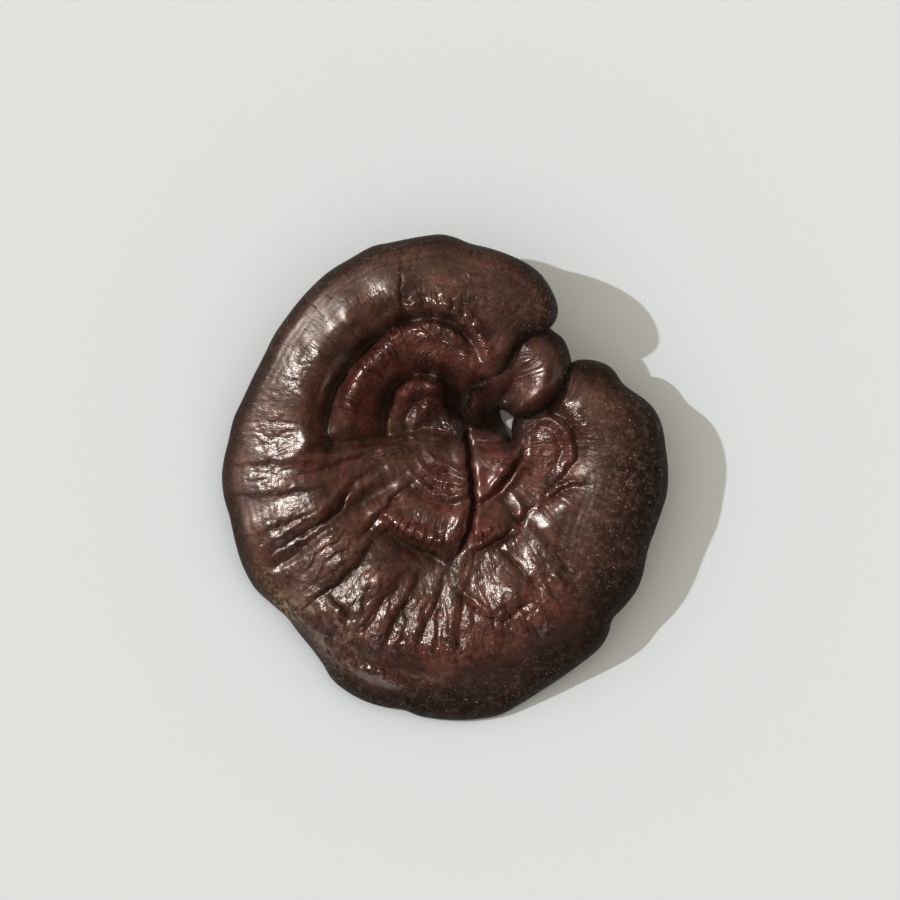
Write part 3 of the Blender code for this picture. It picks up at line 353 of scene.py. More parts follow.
DUSTY = [
    (376, 358, 10, 16, 45, 0.6), (396, 340, 20, 9, -30, 0.9), (425, 333, 26, 9, 0, 0.9),
    (453, 343, 14, 10, 35, 0.9), (418, 388, 20, 7, 0, 0.7), (460, 290, 50, 18, 10, 0.5),
    (415, 522, 40, 16, 15, 0.6), (436, 480, 24, 20, 0, 0.5), (340, 655, 30, 30, 40, 0.7),
    (330, 560, 30, 20, -35, 0.7), (445, 640, 60, 24, 0, 0.4), (625, 470, 42, 70, 0, 1.0),
    (600, 545, 45, 55, 20, 0.7), (330, 300, 90, 60, -40, 0.3), (540, 305, 25, 40, 0, 0.6),
    (280, 600, 40, 30, 35, 0.4), (430, 700, 110, 25, 0, 0.5), (530, 680, 60, 30, -20, 0.4),
]
DULL = [
    (302, 492, 34, 50, -20, 0.26), (328, 308, 32, 22, -40, 0.7), (272, 362, 18, 42, 22, 0.45),
    (370, 268, 130, 30, -25, 0.9), (248, 380, 22, 90, 20, 0.8), (620, 460, 50, 90, 0, 0.9),
    (535, 300, 40, 50, 0, 0.9), (610, 570, 50, 50, 20, 0.8), (345, 655, 34, 18, 35, 0.15),
    (320, 310, 30, 60, 45, 0.6), (236, 470, 12, 80, 0, 0.8),
]
PALE = [(284, 602, 30, 12, 48, 1.0), (262, 570, 16, 9, 55, 0.7), (318, 640, 22, 8, 50, 0.4)]
# Painted shade in grooves, gaps and hollows and on slopes turned from the sun, and darker crust by the rim
SHADE_AND_DARK_CRUST = [
    (402, 292, 3.5, 32, 0, 0.8), (331, 398, 8, 28, 14, 0.6), (350, 354, 22, 7, -40, 0.5),
    (500, 674, 70, 22, -14, 0.6), (420, 549, 30, 6, 20, 0.8), (438, 420, 24, 11, 0, 0.55),
    (600, 620, 40, 26, -40, 0.5), (450, 402, 10, 26, 0, 0.85), (334, 430, 8, 22, 10, 0.5),
    (652, 480, 30, 110, 0, 1.0), (622, 600, 44, 55, 30, 1.0), (560, 660, 60, 30, -35, 1.0),
    (600, 372, 45, 18, 25, 0.8), (455, 702, 120, 20, 0, 0.9), (350, 694, 40, 20, 30, 0.6),
    (530, 285, 34, 40, 0, 0.35), (455, 412, 16, 24, 0, 0.6), (388, 410, 12, 30, 0, 0.3),
    (640, 540, 30, 60, 10, 0.8), (448, 438, 26, 12, 0, 0.6), (350, 446, 50, 8, -4, 0.4),
    (398, 664, 55, 9, 14, 0.45), (328, 628, 10, 36, -35, 0.4),
]


def smooth_path(points, per_span, closed=False):
    """A Catmull-Rom curve through the points. A height that follows x and y is carried along."""
    p = np.array(points, float)
    if closed:
        p = np.vstack([p[-1], p, p[:2]])
    else:
        p = np.vstack([2 * p[0] - p[1], p, 2 * p[-1] - p[-2]])
    t = np.linspace(0, 1, per_span, endpoint=False)[:, None]
    spans = [
        b + 0.5 * ((c - a) * t + (2 * a - 5 * b + 4 * c - d) * t**2 + (3 * b - a - 3 * c + d) * t**3)
        for a, b, c, d in zip(p[:-3], p[1:-2], p[2:-1], p[3:])
    ]
    return np.vstack(spans if closed else [*spans, p[-2:-1]])


def even_path(path, step, closed=False):
    """The same curve with its points a step apart."""
    if closed:
        path = np.vstack([path, path[:1]])
    along = np.concatenate([[0], np.cumsum(np.linalg.norm(np.diff(path[:, :2], axis=0), axis=1))])
    count = max(2, round(along[-1] / step))
    wanted = np.linspace(0, along[-1], count, endpoint=not closed)
    return np.stack([np.interp(wanted, along, column) for column in path.T], 1)


def smooth_step(value):
    """Rises gently from 0 and settles gently at 1."""
    t = np.clip(value, 0, 1)
    return t * t * (3 - 2 * t)


def quarter_round(value):
    """Rises steeply from 0 and flattens at 1, like the quarter of a circle."""
    return np.sqrt(1 - (1 - np.clip(value, 0, 1)) ** 2)


PLATE_UNIT = 100  # pixels


def bent_plate(heights, stiffness):
    """The surface of a thin plate bent through the heights. A stiff one passes them by more smoothly."""
    known = np.array(heights, float)
    anchors, z = known[:, :2] / PLATE_UNIT, known[:, 2]
    count = len(known)

    def bending(a, b):
        squared = ((a[:, None] - b[None]) ** 2).sum(2)
        return 0.5 * squared * np.log(squared + 1e-12)

    plane = np.hstack([np.ones((count, 1)), anchors])
    bent = bending(anchors, anchors) + stiffness * np.eye(count)
    system = np.block([[bent, plane], [plane.T, np.zeros((3, 3))]])
    weights = np.linalg.solve(system, np.concatenate([z, np.zeros(3)]))

    def height(places):
        q = places / PLATE_UNIT
        return bending(q, anchors) @ weights[:count] + np.hstack([np.ones((len(q), 1)), q]) @ weights[count:]

    return height


UNSTEADINESS = 0.7  # pixels


def unsteady(places):
    """The places shifted a little, here one way and there another, so that no fold is too even."""
    x, y = places.T
    across = 1.0 * np.sin(y / 4.1 + 1.3 * np.sin(x / 7.3)) + 0.7 * np.sin(y / 2.3 + x / 5.7)
    down = 1.0 * np.sin(x / 3.9 + 1.5 * np.sin(y / 6.1 + 2)) + 0.7 * np.sin(x / 2.1 - y / 6.3 + 1)
    return places + np.stack([across, down], 1) * UNSTEADINESS


FOLD_REACH = 3.2  # widths from its line at which a fold has faded out


def fold_relief(places, folds):
    """What the folds add to the surface at these places, in millimetres."""
    places = unsteady(places)
    relief = np.zeros(len(places))
    for _, left, right, roundness, line in folds:
        path = smooth_path(line, 5)
        reach = FOLD_REACH * max(left, right)
        low, high = path[:, :2].min(0) - reach, path[:, :2].max(0) + reach
        near = np.nonzero(((places > low) & (places < high)).all(1))[0]
        nearest = np.full(len(near), np.inf)
        added = np.zeros(len(near))
        for start, end in zip(path[:-1], path[1:]):
            run = (end - start)[:2]
            away = places[near] - start[:2]
            share = np.clip(away @ run / (run @ run), 0, 1)
            gap = away - share[:, None] * run
            distance = np.linalg.norm(gap, axis=1)
            on_right = run[0] * gap[:, 1] - run[1] * gap[:, 0] > 0
            section = np.exp(-((distance / np.where(on_right, right, left)) ** roundness))
            height = start[2] + share * (end[2] - start[2])
            added = np.where(distance < nearest, height * section, added)
            nearest = np.minimum(nearest, distance)
        relief[near] += added
    return relief


def from_oval(places, x, y, half_width, half_height, turn):
    """The square of how far the places are from the middle of an oval, whose edge is at 1."""
    angle = math.radians(turn)
    away = places - (x, y)
    across = (away[:, 0] * math.cos(angle) + away[:, 1] * math.sin(angle)) / half_width
    along = (away[:, 1] * math.cos(angle) - away[:, 0] * math.sin(angle)) / half_height
    return across**2 + along**2


def bump_relief(places, bumps):
    """What the bumps add to the surface at these places, in millimetres."""
    relief = np.zeros(len(places))
    for *oval, height in bumps:
        relief += height * np.exp(-from_oval(places, *oval))
    return relief


def distance_to(points, places):
    """How far each place is from the nearest of the points."""
    tree = KDTree(len(points))
    for index, (x, y) in enumerate(points):
        tree.insert((x, y, 0), index)
    tree.balance()
    return np.array([tree.find((x, y, 0))[2] for x, y in places])


def inside(places, outline):
    """Whether each place is inside: a level line from it crosses the outline an odd number of times."""
    x, y = places.T
    within = np.zeros(len(places), bool)
    for (x1, y1), (x2, y2) in zip(outline, np.roll(outline, -1, axis=0)):
        if y1 != y2:
            within ^= ((y1 > y) != (y2 > y)) & (x < (x2 - x1) * (y - y1) / (y2 - y1) + x1)
    return within


def honeycomb(outline, step):
    """The corners of equilateral triangles, over the outline's box."""
    low, high = outline.min(0), outline.max(0)
    rows = np.arange(low[1], high[1], step * math.sqrt(3) / 2)
    columns = np.arange(low[0], high[0], step)
    return np.array([(x + step / 2 * (k % 2), y) for k, y in enumerate(rows) for x in columns])


ROW_CLEARANCE = 0.9  # share of a row's offset by which its points stay clear of the whole edge
EDGE_CLEARANCE = 0.4  # share of a layer's gap by which its points stay clear of the edge


def rim_rows(outline, edge, offsets):
    """Rows of points that follow the outline inwards, so that the rim comes out round."""
    run = np.roll(outline, -1, axis=0) - np.roll(outline, 1, axis=0)
    inwards = np.stack([run[:, 1], -run[:, 0]], 1) / np.linalg.norm(run, axis=1)[:, None]
    if not inside(outline[:1] + inwards[:1], outline)[0]:
        inwards = -inwards
    rows = []
    for offset in offsets:
        row = outline + inwards * offset
        clear = distance_to(edge, row) > ROW_CLEARANCE * offset
        rows.append(row[clear & inside(row, outline)])
    return rows


def spread(outline, edge, layers):
    """The layers' points inside the outline, but for those too near its edge or an earlier layer's points."""
    kept = outline
    for points, gap in layers:
        points = points[inside(points, outline)]
        points = points[distance_to(edge, points) > EDGE_CLEARANCE * gap]
        kept = np.vstack([kept, points[distance_to(kept, points) > gap]])
    return kept[len(outline):]


def triangulate(outline, points):
    """Delaunay triangles between the outline's corners and the points inside it."""
    corners = [Vector((x, -y)) for x, y in np.vstack([outline, points])]
    sides = [(k, (k + 1) % len(outline)) for k in range(len(outline))]
    return delaunay_2d_cdt(corners, sides, [], 1, 1e-6)[2]


EXACT = 0.0005  # stiffness of a plate that keeps to its heights
SHADED_DEPTH, DARKEST_DEPTH = 1.0, 7.0  # millimetres below the calm surface: a hollow's painted shade starts, and is full
CREASED_DEPTH = 3.0  # millimetres of a fold's depth at which the painted shade of its crease is as dark


def flesh_heights(places, from_rim, heights, folds, bumps, flesh, rim_half, calm):
    """Heights of the upper and the lower surface at these places, and how hollow the crust is there, for
    painted shade.
    """
    folded = fold_relief(places, folds)
    crown = bent_plate(heights, EXACT)(places) + folded + bump_relief(places, bumps)
    calm_crown = bent_plate(heights, calm)(places)
    half = rim_half(crown)
    round_rim = quarter_round(from_rim / RIM_ROUNDING)
    upper = crown - half * (1 - round_rim)
    inwards = smooth_step((from_rim / RIM_ROUNDING - 0.5) / 2)
    body = crown + (calm_crown - crown) * inwards
    thickened = smooth_step((from_rim - RIM_ROUNDING) / THICKENING)
    thickness = half * (1 + round_rim) + (flesh - 2 * half) * thickened
    lower = np.minimum(body - thickness, upper - THINNEST_FLESH * smooth_step(from_rim / RIM_ROUNDING))
    sunken = smooth_step((calm_crown - crown - SHADED_DEPTH) / (DARKEST_DEPTH - SHADED_DEPTH))
    creased = smooth_step(-folded / CREASED_DEPTH)
    return upper, np.maximum(lower, 0), 1 - (1 - sunken) * (1 - creased)


def cap_heights(places, from_rim):
    """The cap's two surfaces. The lower one runs down into the stem, which is cut off flat at height 0."""

    def rim_half(crown):
        return np.interp(crown, (LOW_RIM_HEIGHT, HIGH_RIM_HEIGHT), (LOW_RIM, HIGH_RIM))

    upper, lower, hollow = flesh_heights(
        places, from_rim, CAP_HEIGHTS, CAP_FOLDS, CAP_BUMPS, CAP_FLESH, rim_half, calm=1.0)
    from_stem = np.linalg.norm(places - STEM_CENTRE, axis=1) - STEM_RADIUS
    return upper, lower * quarter_round((from_stem - CUT_MARGIN) / STEM_FLARE), hollow


def patch_weight(places, patches):
    """How strongly the patches cover each place. Their edges are soft, and the strongest counts most."""
    total = np.zeros(len(places))
    for *oval, strength in patches:
        total += (strength * np.exp(-(from_oval(places, *oval) ** 1.5))) ** 3
    return np.cbrt(total)


NOTCH_BEARING = 50  # degrees anticlockwise from the photograph's right
REFERENCE_REACH = 170  # pixels from the centre at which bearings are measured along the arc
MEAN_CENTRE = (460.0, 443.0)
CENTRE_STEPS = 5  # times that the search for a place's own centre is repeated
# The rings have another centre in each direction: degrees clockwise from the photograph's right, x, y
GROWTH_CENTRES = [
    (-75, 470, 380), (-110, 430, 400), (-160, 410, 410), (160, 430, 435), (90, 447, 443), (40, 475, 445),
    (0, 515, 440), (-30, 530, 430),
]


def growth_rays(places):
    """Each place's bearing from its rings' centre, in radians and broken at the notch, and its distance."""
    order = sorted(((bearing + NOTCH_BEARING) % 360, x, y) for bearing, x, y in GROWTH_CENTRES)
    order = [(order[-1][0] - 360, *order[-1][1:]), *order, (order[0][0] + 360, *order[0][1:])]
    degrees, xs, ys = np.array(order).T
    x, y = np.tile(MEAN_CENTRE, (len(places), 1)).T
    for _ in range(CENTRE_STEPS):
        bearing = np.degrees(np.arctan2(places[:, 1] - y, places[:, 0] - x))
        turned = (bearing + NOTCH_BEARING) % 360
        x, y = np.interp(turned, degrees, xs), np.interp(turned, degrees, ys)
    return np.radians(turned), np.hypot(places[:, 0] - x, places[:, 1] - y)


PORELESS_RIM, SMOOTH_RIM = 7, 9  # pixels from the edge without pores, and without the full relief
PORES_START = 0.6  # share of the stem's flare that has no pores


def closed_mesh(name, outline, edge, upper_points, lower_points, surfaces, patches):
    """One closed mesh from an upper and a lower surface that share the outline's corners."""
    count = len(outline)
    top = np.vstack([outline, upper_points])
    low = np.vstack([outline, lower_points])
    from_rim = np.concatenate([distance_to(edge, top), distance_to(edge, lower_points)])
    top_z, _, hollow = surfaces(top, from_rim[:len(top)])
    _, low_z, _ = surfaces(low, np.concatenate([from_rim[:count], from_rim[len(top):]]))
    plan = np.vstack([top, lower_points])
    z = np.concatenate([top_z, low_z[count:]])
    shift = len(top) - count
    upper_faces = [tuple(face) for face in triangulate(outline, upper_points)]
    lower_faces = [
        tuple(k if k < count else k + shift for k in reversed(face))
        for face in triangulate(outline, lower_points)
    ]
    place = (plan - PLAN_CENTRE) * (PIXEL, -PIXEL)
    mesh = bpy.data.meshes.new(name)
    mesh.from_pydata(np.column_stack([place, z * MILLIMETRE]).tolist(), [], upper_faces + lower_faces)
    under = np.array([0] * len(upper_faces) + [1] * len(lower_faces), bool)
    corners = np.array(upper_faces + lower_faces)
    near_rim = from_rim[corners].mean(1) < PORELESS_RIM
    by_stem = np.linalg.norm(plan[corners].mean(1) - STEM_CENTRE, axis=1)
    bearing, reach = growth_rays(plan)
    open_air = np.concatenate([np.ones(len(top)), np.zeros(len(lower_points))])
    values = {
        "from_rim": from_rim,
        "bearing": bearing * REFERENCE_REACH,
        "reach": reach,
        "relief_share": open_air * smooth_step(from_rim / SMOOTH_RIM),
        "hollow": np.concatenate([hollow, np.zeros(len(lower_points))]),
        **{key: patch_weight(plan, value) for key, value in patches.items()},
    }
    for key, value in values.items():
        mesh.attributes.new(key, "FLOAT", "POINT").data.foreach_set("value", value.astype(np.float32))
    pored = under & ~near_rim & (by_stem > STEM_RADIUS + PORES_START * STEM_FLARE)
    for key, value in (("pored", pored), ("cut_face", under & (by_stem < STEM_RADIUS))):
        mesh.attributes.new(key, "BOOLEAN", "FACE").data.foreach_set("value", value)
    mesh.shade_smooth()
    return mesh


def add(tree, kind, inputs=(), **settings):
    """Adds a node. An input is a value, or the output of another node."""
    made = tree.nodes.new(kind)
    for key, value in settings.items():
        setattr(made, key, value)
    for key, value in dict(inputs).items():
        if isinstance(value, bpy.types.NodeSocket):
            tree.links.new(value, made.inputs[key])
        else:
            made.inputs[key].default_value = value
    return made


def maths(tree, operation, a, b=0.0, c=0.0):
    return add(tree, "ShaderNodeMath", {0: a, 1: b, 2: c}, operation=operation).outputs[0]


def plan_points(corners, per_span, edge_steps, rows, row_gap, upper, lower, stem_rings=()):
    """An outline, the same more finely divided, and the points inside it for the upper and lower surface.
    A surface is given as the step and the least gap of its points. Rows follow the rim at their offsets."""
    fine = smooth_path(corners, per_span, closed=True)
    outline, edge = (even_path(fine, step, closed=True) for step in edge_steps)
    rim = [(row, row_gap) for row in rim_rows(outline, edge, rows)]
    upper_points = spread(outline, edge, [*rim, (honeycomb(outline, upper[0]), upper[1])])
    lower_points = spread(outline, edge, [*rim, *stem_rings, (honeycomb(outline, lower[0]), lower[1])])
    return outline, edge, upper_points, lower_points


STEM_POINTS, STEM_ROWS, STEM_ROW_GAP = 96, (0, 0.5, 1.6, 3.4), 0.5
stem_turns = np.linspace(0, math.tau, STEM_POINTS, endpoint=False)
stem_circle = np.stack([np.cos(stem_turns), np.sin(stem_turns)], 1)
stem_rings = [(STEM_CENTRE + stem_circle * (STEM_RADIUS + row), STEM_ROW_GAP) for row in STEM_ROWS]
cap_plan = plan_points(
    CAP_OUTLINE, per_span=12, edge_steps=(1.6, 0.6), rows=(0.35, 1.1, 2.3, 3.9), row_gap=0.6,
    upper=(1.5, 0.95), lower=(4.6, 2.8), stem_rings=stem_rings)
CAP_PATCHES = {
    "wrinkled": WRINKLED, "crackled": CRACKLED, "pleated": PLEATED, "shingled": SHINGLED, "red": RED,
    "dusty": DUSTY, "dull": DULL, "pale": PALE, "dark": SHADE_AND_DARK_CRUST,
}
cap_mesh = closed_mesh("cap", *cap_plan, cap_heights, CAP_PATCHES)

SHINGLES_TURN_AT = 440  # the plan's y above which the shingles rise the other way round the centre
SHINGLE_WANDER, SHINGLE_DROP = 1.6, 4.0  # how uneven they are, and how much steeper they drop than they rise
SHINGLE_REACH = 100.0  # pixels from the centre at which they have their full height
RELIEF_KINDS = ("Shingle", "Swell", "Wrinkle", "Crackle", "Pleat", "Ring", "Grain")


def crust_relief_tree():
    """Wrinkles, pleats and growth lines pushed into the crust along its normals."""
    tree = bpy.data.node_groups.new("crust relief", "GeometryNodeTree")
    interface = tree.interface
    interface.new_socket("Geometry", in_out="INPUT", socket_type="NodeSocketGeometry")
    for label in (*(kind + " depth" for kind in RELIEF_KINDS), "Seed"):
        interface.new_socket(label, in_out="INPUT", socket_type="NodeSocketFloat")
    for label in ("Crust", "Pores", "Cut flesh"):
        interface.new_socket(label, in_out="INPUT", socket_type="NodeSocketMaterial")
    interface.new_socket("Geometry", in_out="OUTPUT", socket_type="NodeSocketGeometry")
    entry = add(tree, "NodeGroupInput")

    def attribute(key, data_type="FLOAT"):
        made = add(tree, "GeometryNodeInputNamedAttribute", {"Name": key}, data_type=data_type)
        return made.outputs["Attribute"]

    bearing, reach, from_rim = attribute("bearing"), attribute("reach"), attribute("from_rim")

    def noise(across, along, layer, detail=1.0, warp=0.0, outwards=reach):
        """Noise that is drawn out along the rays. Its sizes are in pixels across and along them."""
        vector = add(tree, "ShaderNodeCombineXYZ", {
            "X": maths(tree, "DIVIDE", bearing, across), "Y": maths(tree, "DIVIDE", outwards, along),
            "Z": maths(tree, "ADD", entry.outputs["Seed"], layer)}).outputs[0]
        made = add(tree, "ShaderNodeTexNoise", {
            "Vector": vector, "Scale": 1.0, "Detail": detail, "Roughness": 0.55, "Distortion": warp})
        return made.outputs["Fac"]

    def swing(value):
        """The noise spread out, so that it mostly runs from -1 to 1."""
        return maths(tree, "MULTIPLY", maths(tree, "SUBTRACT", value, 0.5), 4.0)

    def puff(value):
        """Rounded folds with a sharp crease between them."""
        away = maths(tree, "MINIMUM", maths(tree, "ABSOLUTE", swing(value)), 1.0)
        gap = maths(tree, "SUBTRACT", 1.0, away)
        return maths(tree, "SUBTRACT", 1.0, maths(tree, "MULTIPLY", gap, gap))

    def shingles(period, layer):
        """Pleats that rise towards the photograph's right and drop sharply, higher far from the centre."""
        turn = maths(tree, "DIVIDE", bearing, period)
        run = maths(tree, "MULTIPLY_ADD", noise(60, 25, layer), SHINGLE_WANDER, turn)
        position = add(tree, "GeometryNodeInputPosition").outputs[0]
        north = add(tree, "ShaderNodeSeparateXYZ", {0: position}).outputs["Y"]
        turn_line = (PLAN_CENTRE[1] - SHINGLES_TURN_AT) * PIXEL
        turned = maths(tree, "SIGN", maths(tree, "SUBTRACT", north, turn_line))
        rise = maths(tree, "FRACT", maths(tree, "MULTIPLY", run, turned))
        drop = maths(tree, "MULTIPLY", maths(tree, "SUBTRACT", 1.0, rise), SHINGLE_DROP)
        pleat = maths(tree, "MINIMUM", rise, drop)
        return maths(tree, "MULTIPLY", pleat, maths(tree, "DIVIDE", reach, SHINGLE_REACH))

    wrinkled, crackled, pleated = attribute("wrinkled"), attribute("crackled"), attribute("pleated")
    swell = maths(tree, "ADD", wrinkled, maths(tree, "MULTIPLY", crackled, 0.5))
    # Input that sets the depth, shape, and where it shows
    layers = [
        ("Shingle depth", shingles(14, 41), attribute("shingled")),
        ("Swell depth", swing(noise(22, 40, 3, warp=0.5)), swell),
        ("Wrinkle depth", puff(noise(12, 44, 7, warp=1.0)), wrinkled),
        ("Wrinkle depth", maths(tree, "MULTIPLY", puff(noise(5.5, 17, 11, warp=1.2)), 0.25), wrinkled),
        ("Crackle depth", puff(noise(14, 30, 17, warp=0.9)), crackled),
        ("Crackle depth", maths(tree, "MULTIPLY", puff(noise(5, 10, 19, warp=0.8)), 0.3), crackled),
        ("Pleat depth", puff(noise(6, 50, 23, warp=0.5)), pleated),
        ("Pleat depth", maths(tree, "MULTIPLY", puff(noise(6.5, 9, 29, warp=0.8)), 0.7), pleated),
        ("Ring depth", swing(noise(300, 7, 31, detail=1.0, warp=0.1, outwards=from_rim)), 1.0),
        ("Grain depth", swing(noise(3.2, 4.5, 37, detail=1.5)), 1.0),
    ]
    height = 0.0
    for depth, shape, weight in layers:
        layer = maths(tree, "MULTIPLY", maths(tree, "MULTIPLY", shape, weight), entry.outputs[depth])
        height = maths(tree, "ADD", height, layer)
    height = maths(tree, "MULTIPLY", height, attribute("relief_share"))
    normal = add(tree, "GeometryNodeInputNormal").outputs["Normal"]
    offset = add(tree, "ShaderNodeVectorMath", {0: normal, "Scale": height}, operation="SCALE").outputs[0]
    shape = add(tree, "GeometryNodeStoreNamedAttribute", {
        "Geometry": entry.outputs["Geometry"], "Name": "relief", "Value": height},
        data_type="FLOAT", domain="POINT").outputs[0]
    shape = add(tree, "GeometryNodeSetPosition", {"Geometry": shape, "Offset": offset}).outputs[0]
    shape = add(tree, "GeometryNodeRealizeInstances", {"Geometry": shape}).outputs[0]
    pored, cut_face = attribute("pored", "BOOLEAN"), attribute("cut_face", "BOOLEAN")
    for label, where in (("Crust", True), ("Pores", pored), ("Cut flesh", cut_face)):
        shape = add(tree, "GeometryNodeSetMaterial", {
            "Geometry": shape, "Material": entry.outputs[label], "Selection": where}).outputs[0]
    add(tree, "NodeGroupOutput", {"Geometry": shape})
    return tree


def relieved(mesh, tree, inputs):
    """An object of the mesh with the relief pushed into it, as plain mesh."""
    obj = bpy.data.objects.new(mesh.name, mesh)
    bpy.context.scene.collection.objects.link(obj)
    modifier = obj.modifiers.new("relief", "NODES")
    modifier.node_group = tree
    for item in tree.interface.items_tree:
        if item.in_out == "INPUT" and item.name in inputs:
            modifier[item.identifier] = inputs[item.name]
    graph = bpy.context.evaluated_depsgraph_get()
    made = bpy.data.meshes.new_from_object(
        obj.evaluated_get(graph), preserve_all_data_layers=True, depsgraph=graph)
    obj.modifiers.remove(modifier)
    obj.data = made
    made.shade_smooth()
    return obj


DARK_RIM = 18.0, 3.0  # pixels from the edge where the rim's darkness starts, and where it is full


def crust_material():
    """The lacquered crust: dark red-brown, with painted shade nearly black in the hollows, dull and dusty on
    the outer zone.
    """
    material = bpy.data.materials.new("lacquered crust")
    material.use_nodes = True
    tree = material.node_tree
    shader = tree.nodes["Principled BSDF"]
    place = add(tree, "ShaderNodeTexCoord").outputs["Object"]

    def attribute(key):
        return add(tree, "ShaderNodeAttribute", attribute_name=key).outputs["Fac"]

    def mix(share, a, b):
        return add(tree, "ShaderNodeMix", {0: share, 6: a, 7: b}, data_type="RGBA").outputs[2]

    def times(a, b):
        return maths(tree, "MULTIPLY", a, b)

    def plus(total, *others):
        for other in others:
            total = maths(tree, "ADD", total, other)
        return total

    def weighed(*parts):
        """The sum of the values, each times its share."""
        return plus(*(times(value, share) for value, share in parts))

    def at_most(value, limit=1.0):
        return maths(tree, "MINIMUM", value, limit)

    def rest_of(value):
        return maths(tree, "SUBTRACT", 1.0, value)

    def ramp(value, low, high, start=0.0, end=1.0):
        made = add(tree, "ShaderNodeMapRange", {
            "Value": value, "From Min": low, "From Max": high, "To Min": start, "To Max": end})
        return made.outputs["Result"]

    def noise(scale, detail=3.0, roughness=0.55, vector=place):
        """Noise with so many blotches to the metre."""
        return add(tree, "ShaderNodeTexNoise", {
            "Vector": vector, "Scale": scale, "Detail": detail, "Roughness": roughness}).outputs["Fac"]

    bearing, reach, from_rim = attribute("bearing"), attribute("reach"), attribute("from_rim")

    def drawn_out(across, along, detail=2.0, outwards=reach):
        """Noise that is drawn out along the rays. Its sizes are in pixels across and along them."""
        x, y = maths(tree, "DIVIDE", bearing, across), maths(tree, "DIVIDE", outwards, along)
        return noise(1.0, detail, 0.6, add(tree, "ShaderNodeCombineXYZ", {"X": x, "Y": y}).outputs[0])

    def from_middle(value):
        return maths(tree, "ABSOLUTE", maths(tree, "SUBTRACT", value, 0.5))

    def thread(value, width):
        """Thin lines where the noise passes its middle."""
        return ramp(from_middle(value), width, 0.3 * width)

    def facets(value, sharpness):
        """Nearly flat facets with a narrow crease between them, where the noise passes its middle."""
        return at_most(times(from_middle(value), sharpness))

    wrinkled, crackled, pleated = attribute("wrinkled"), attribute("crackled"), attribute("pleated")
    hollow, dull, dark, dusty = attribute("hollow"), attribute("dull"), attribute("dark"), attribute("dusty")
    folded = at_most(plus(wrinkled, crackled, pleated))
    rim = ramp(from_rim, *DARK_RIM)
    crack = times(thread(drawn_out(9, 60), 0.010), ramp(noise(180), 0.50, 0.58))
    long_facets = facets(drawn_out(6.5, 20.0), 10.0)
    # Painted shade in the narrow creases between the fine facets
    facet_crease_shade = times(times(rest_of(long_facets), folded), ramp(noise(260), 0.4, 0.6))
    growth_lines = times(ramp(drawn_out(260.0, 7.0, 3.0, from_rim), 0.48, 0.62), rest_of(folded))
    hairs = times(thread(noise(420, 2.0), 0.010), ramp(noise(900, 1.0), 0.52, 0.60))
    speck_distance = add(tree, "ShaderNodeTexVoronoi", {"Vector": place, "Scale": 900.0}).outputs["Distance"]
    specks = times(ramp(speck_distance, 0.26, 0.16), ramp(noise(500, 1.0), 0.55, 0.64))
    film = times(times(plus(dusty, 0.15), 0.26), ramp(noise(430, 6.0, 0.8), 0.50, 0.64))
    dust = plus(times(plus(times(hairs, 0.7), specks), plus(times(dusty, 0.9), 0.3)), film)

    # The colour from the bottom up: where each layer shows, how strongly it covers, and its colour
    colour = mix(ramp(noise(110), 0.35, 0.7), (0.134, 0.044, 0.037, 1), (0.246, 0.094, 0.080, 1))
    redder = times(attribute("red"), ramp(noise(240), 0.3, 0.6, 0.55, 1.0))
    # Painted shade where the relief sinks into its creases
    crease_shade = times(ramp(attribute("relief"), 0.00012, 0.0), folded)
    flaking = times(attribute("pale"), ramp(noise(700, 4.0, 0.7), 0.46, 0.58))
    layers = [
        (redder, 1.0, (0.245, 0.050, 0.044)),  # young crust of the inner rings
        (dull, 0.7, (0.125, 0.060, 0.053)),  # worn crust of the outer zone
        (ramp(noise(520, 4.0, 0.7), 0.47, 0.62), 0.45, (0.030, 0.012, 0.009)),  # small stains
        (ramp(noise(95, 5.0, 0.65), 0.48, 0.6), 0.5, (0.044, 0.016, 0.012)),  # broad stains
        (ramp(noise(1300, 3.0, 0.7), 0.46, 0.60), 0.4, (0.040, 0.016, 0.012)),  # mottling
        (growth_lines, 0.45, (0.034, 0.015, 0.011)),
        (dark, 0.85, (0.022, 0.013, 0.009)),  # painted shade in grooves, gaps and hollows and on slopes turned from the sun, and darker crust by the rim
        (rim, 0.85, (0.014, 0.009, 0.007)),
        # Painted shade in the relief's creases and between the fine facets
        (crease_shade, 0.5, (0.024, 0.008, 0.006)),
        (facet_crease_shade, 0.55, (0.020, 0.008, 0.006)),
        # Painted shade in the hollows, by how far the crust lies below its calm surface
        (hollow, 0.88, (0.060, 0.032, 0.020)),
        (crack, 0.6, (0.012, 0.005, 0.003)),
        (flaking, 1.0, (0.24, 0.17, 0.09)),  # bare tan flesh at the foot
        (at_most(dust), 1.0, (0.36, 0.33, 0.33)),
    ]
    for shows, covers, shade in layers:
        colour = mix(times(shows, covers), colour, (*shade, 1))
    tree.links.new(colour, shader.inputs["Base Color"])

    # The shine: the outer zone, the rim and the hollows have lost their polish
    rough = plus(ramp(noise(300, 4.0), 0.3, 0.7, 0.36, 0.50), times(plus(dull, rim, dark), 0.12))
    unpolished = at_most(plus(dull, dark, rim, hollow))
    tree.links.new(rough, shader.inputs["Roughness"])
    tree.links.new(maths(tree, "MULTIPLY_ADD", unpolished, -0.85, 1.0), shader.inputs["Coat Weight"])
    shader.inputs["Specular Tint"].default_value = (1.0, 0.92, 0.84, 1)
    shader.inputs["Coat IOR"].default_value = 1.85
    for key, value, without_link in (
        ("Specular IOR Level", ramp(plus(dark, rim, times(dull, 0.6)), 0.0, 1.2, 1.0, 0.3), 0.8),
        ("Coat Roughness", ramp(pleated, 0.2, 1.0, 0.29, 0.17), 0.27),
    ):
        shader.inputs[key].default_value = without_link
        tree.links.new(value, shader.inputs[key])

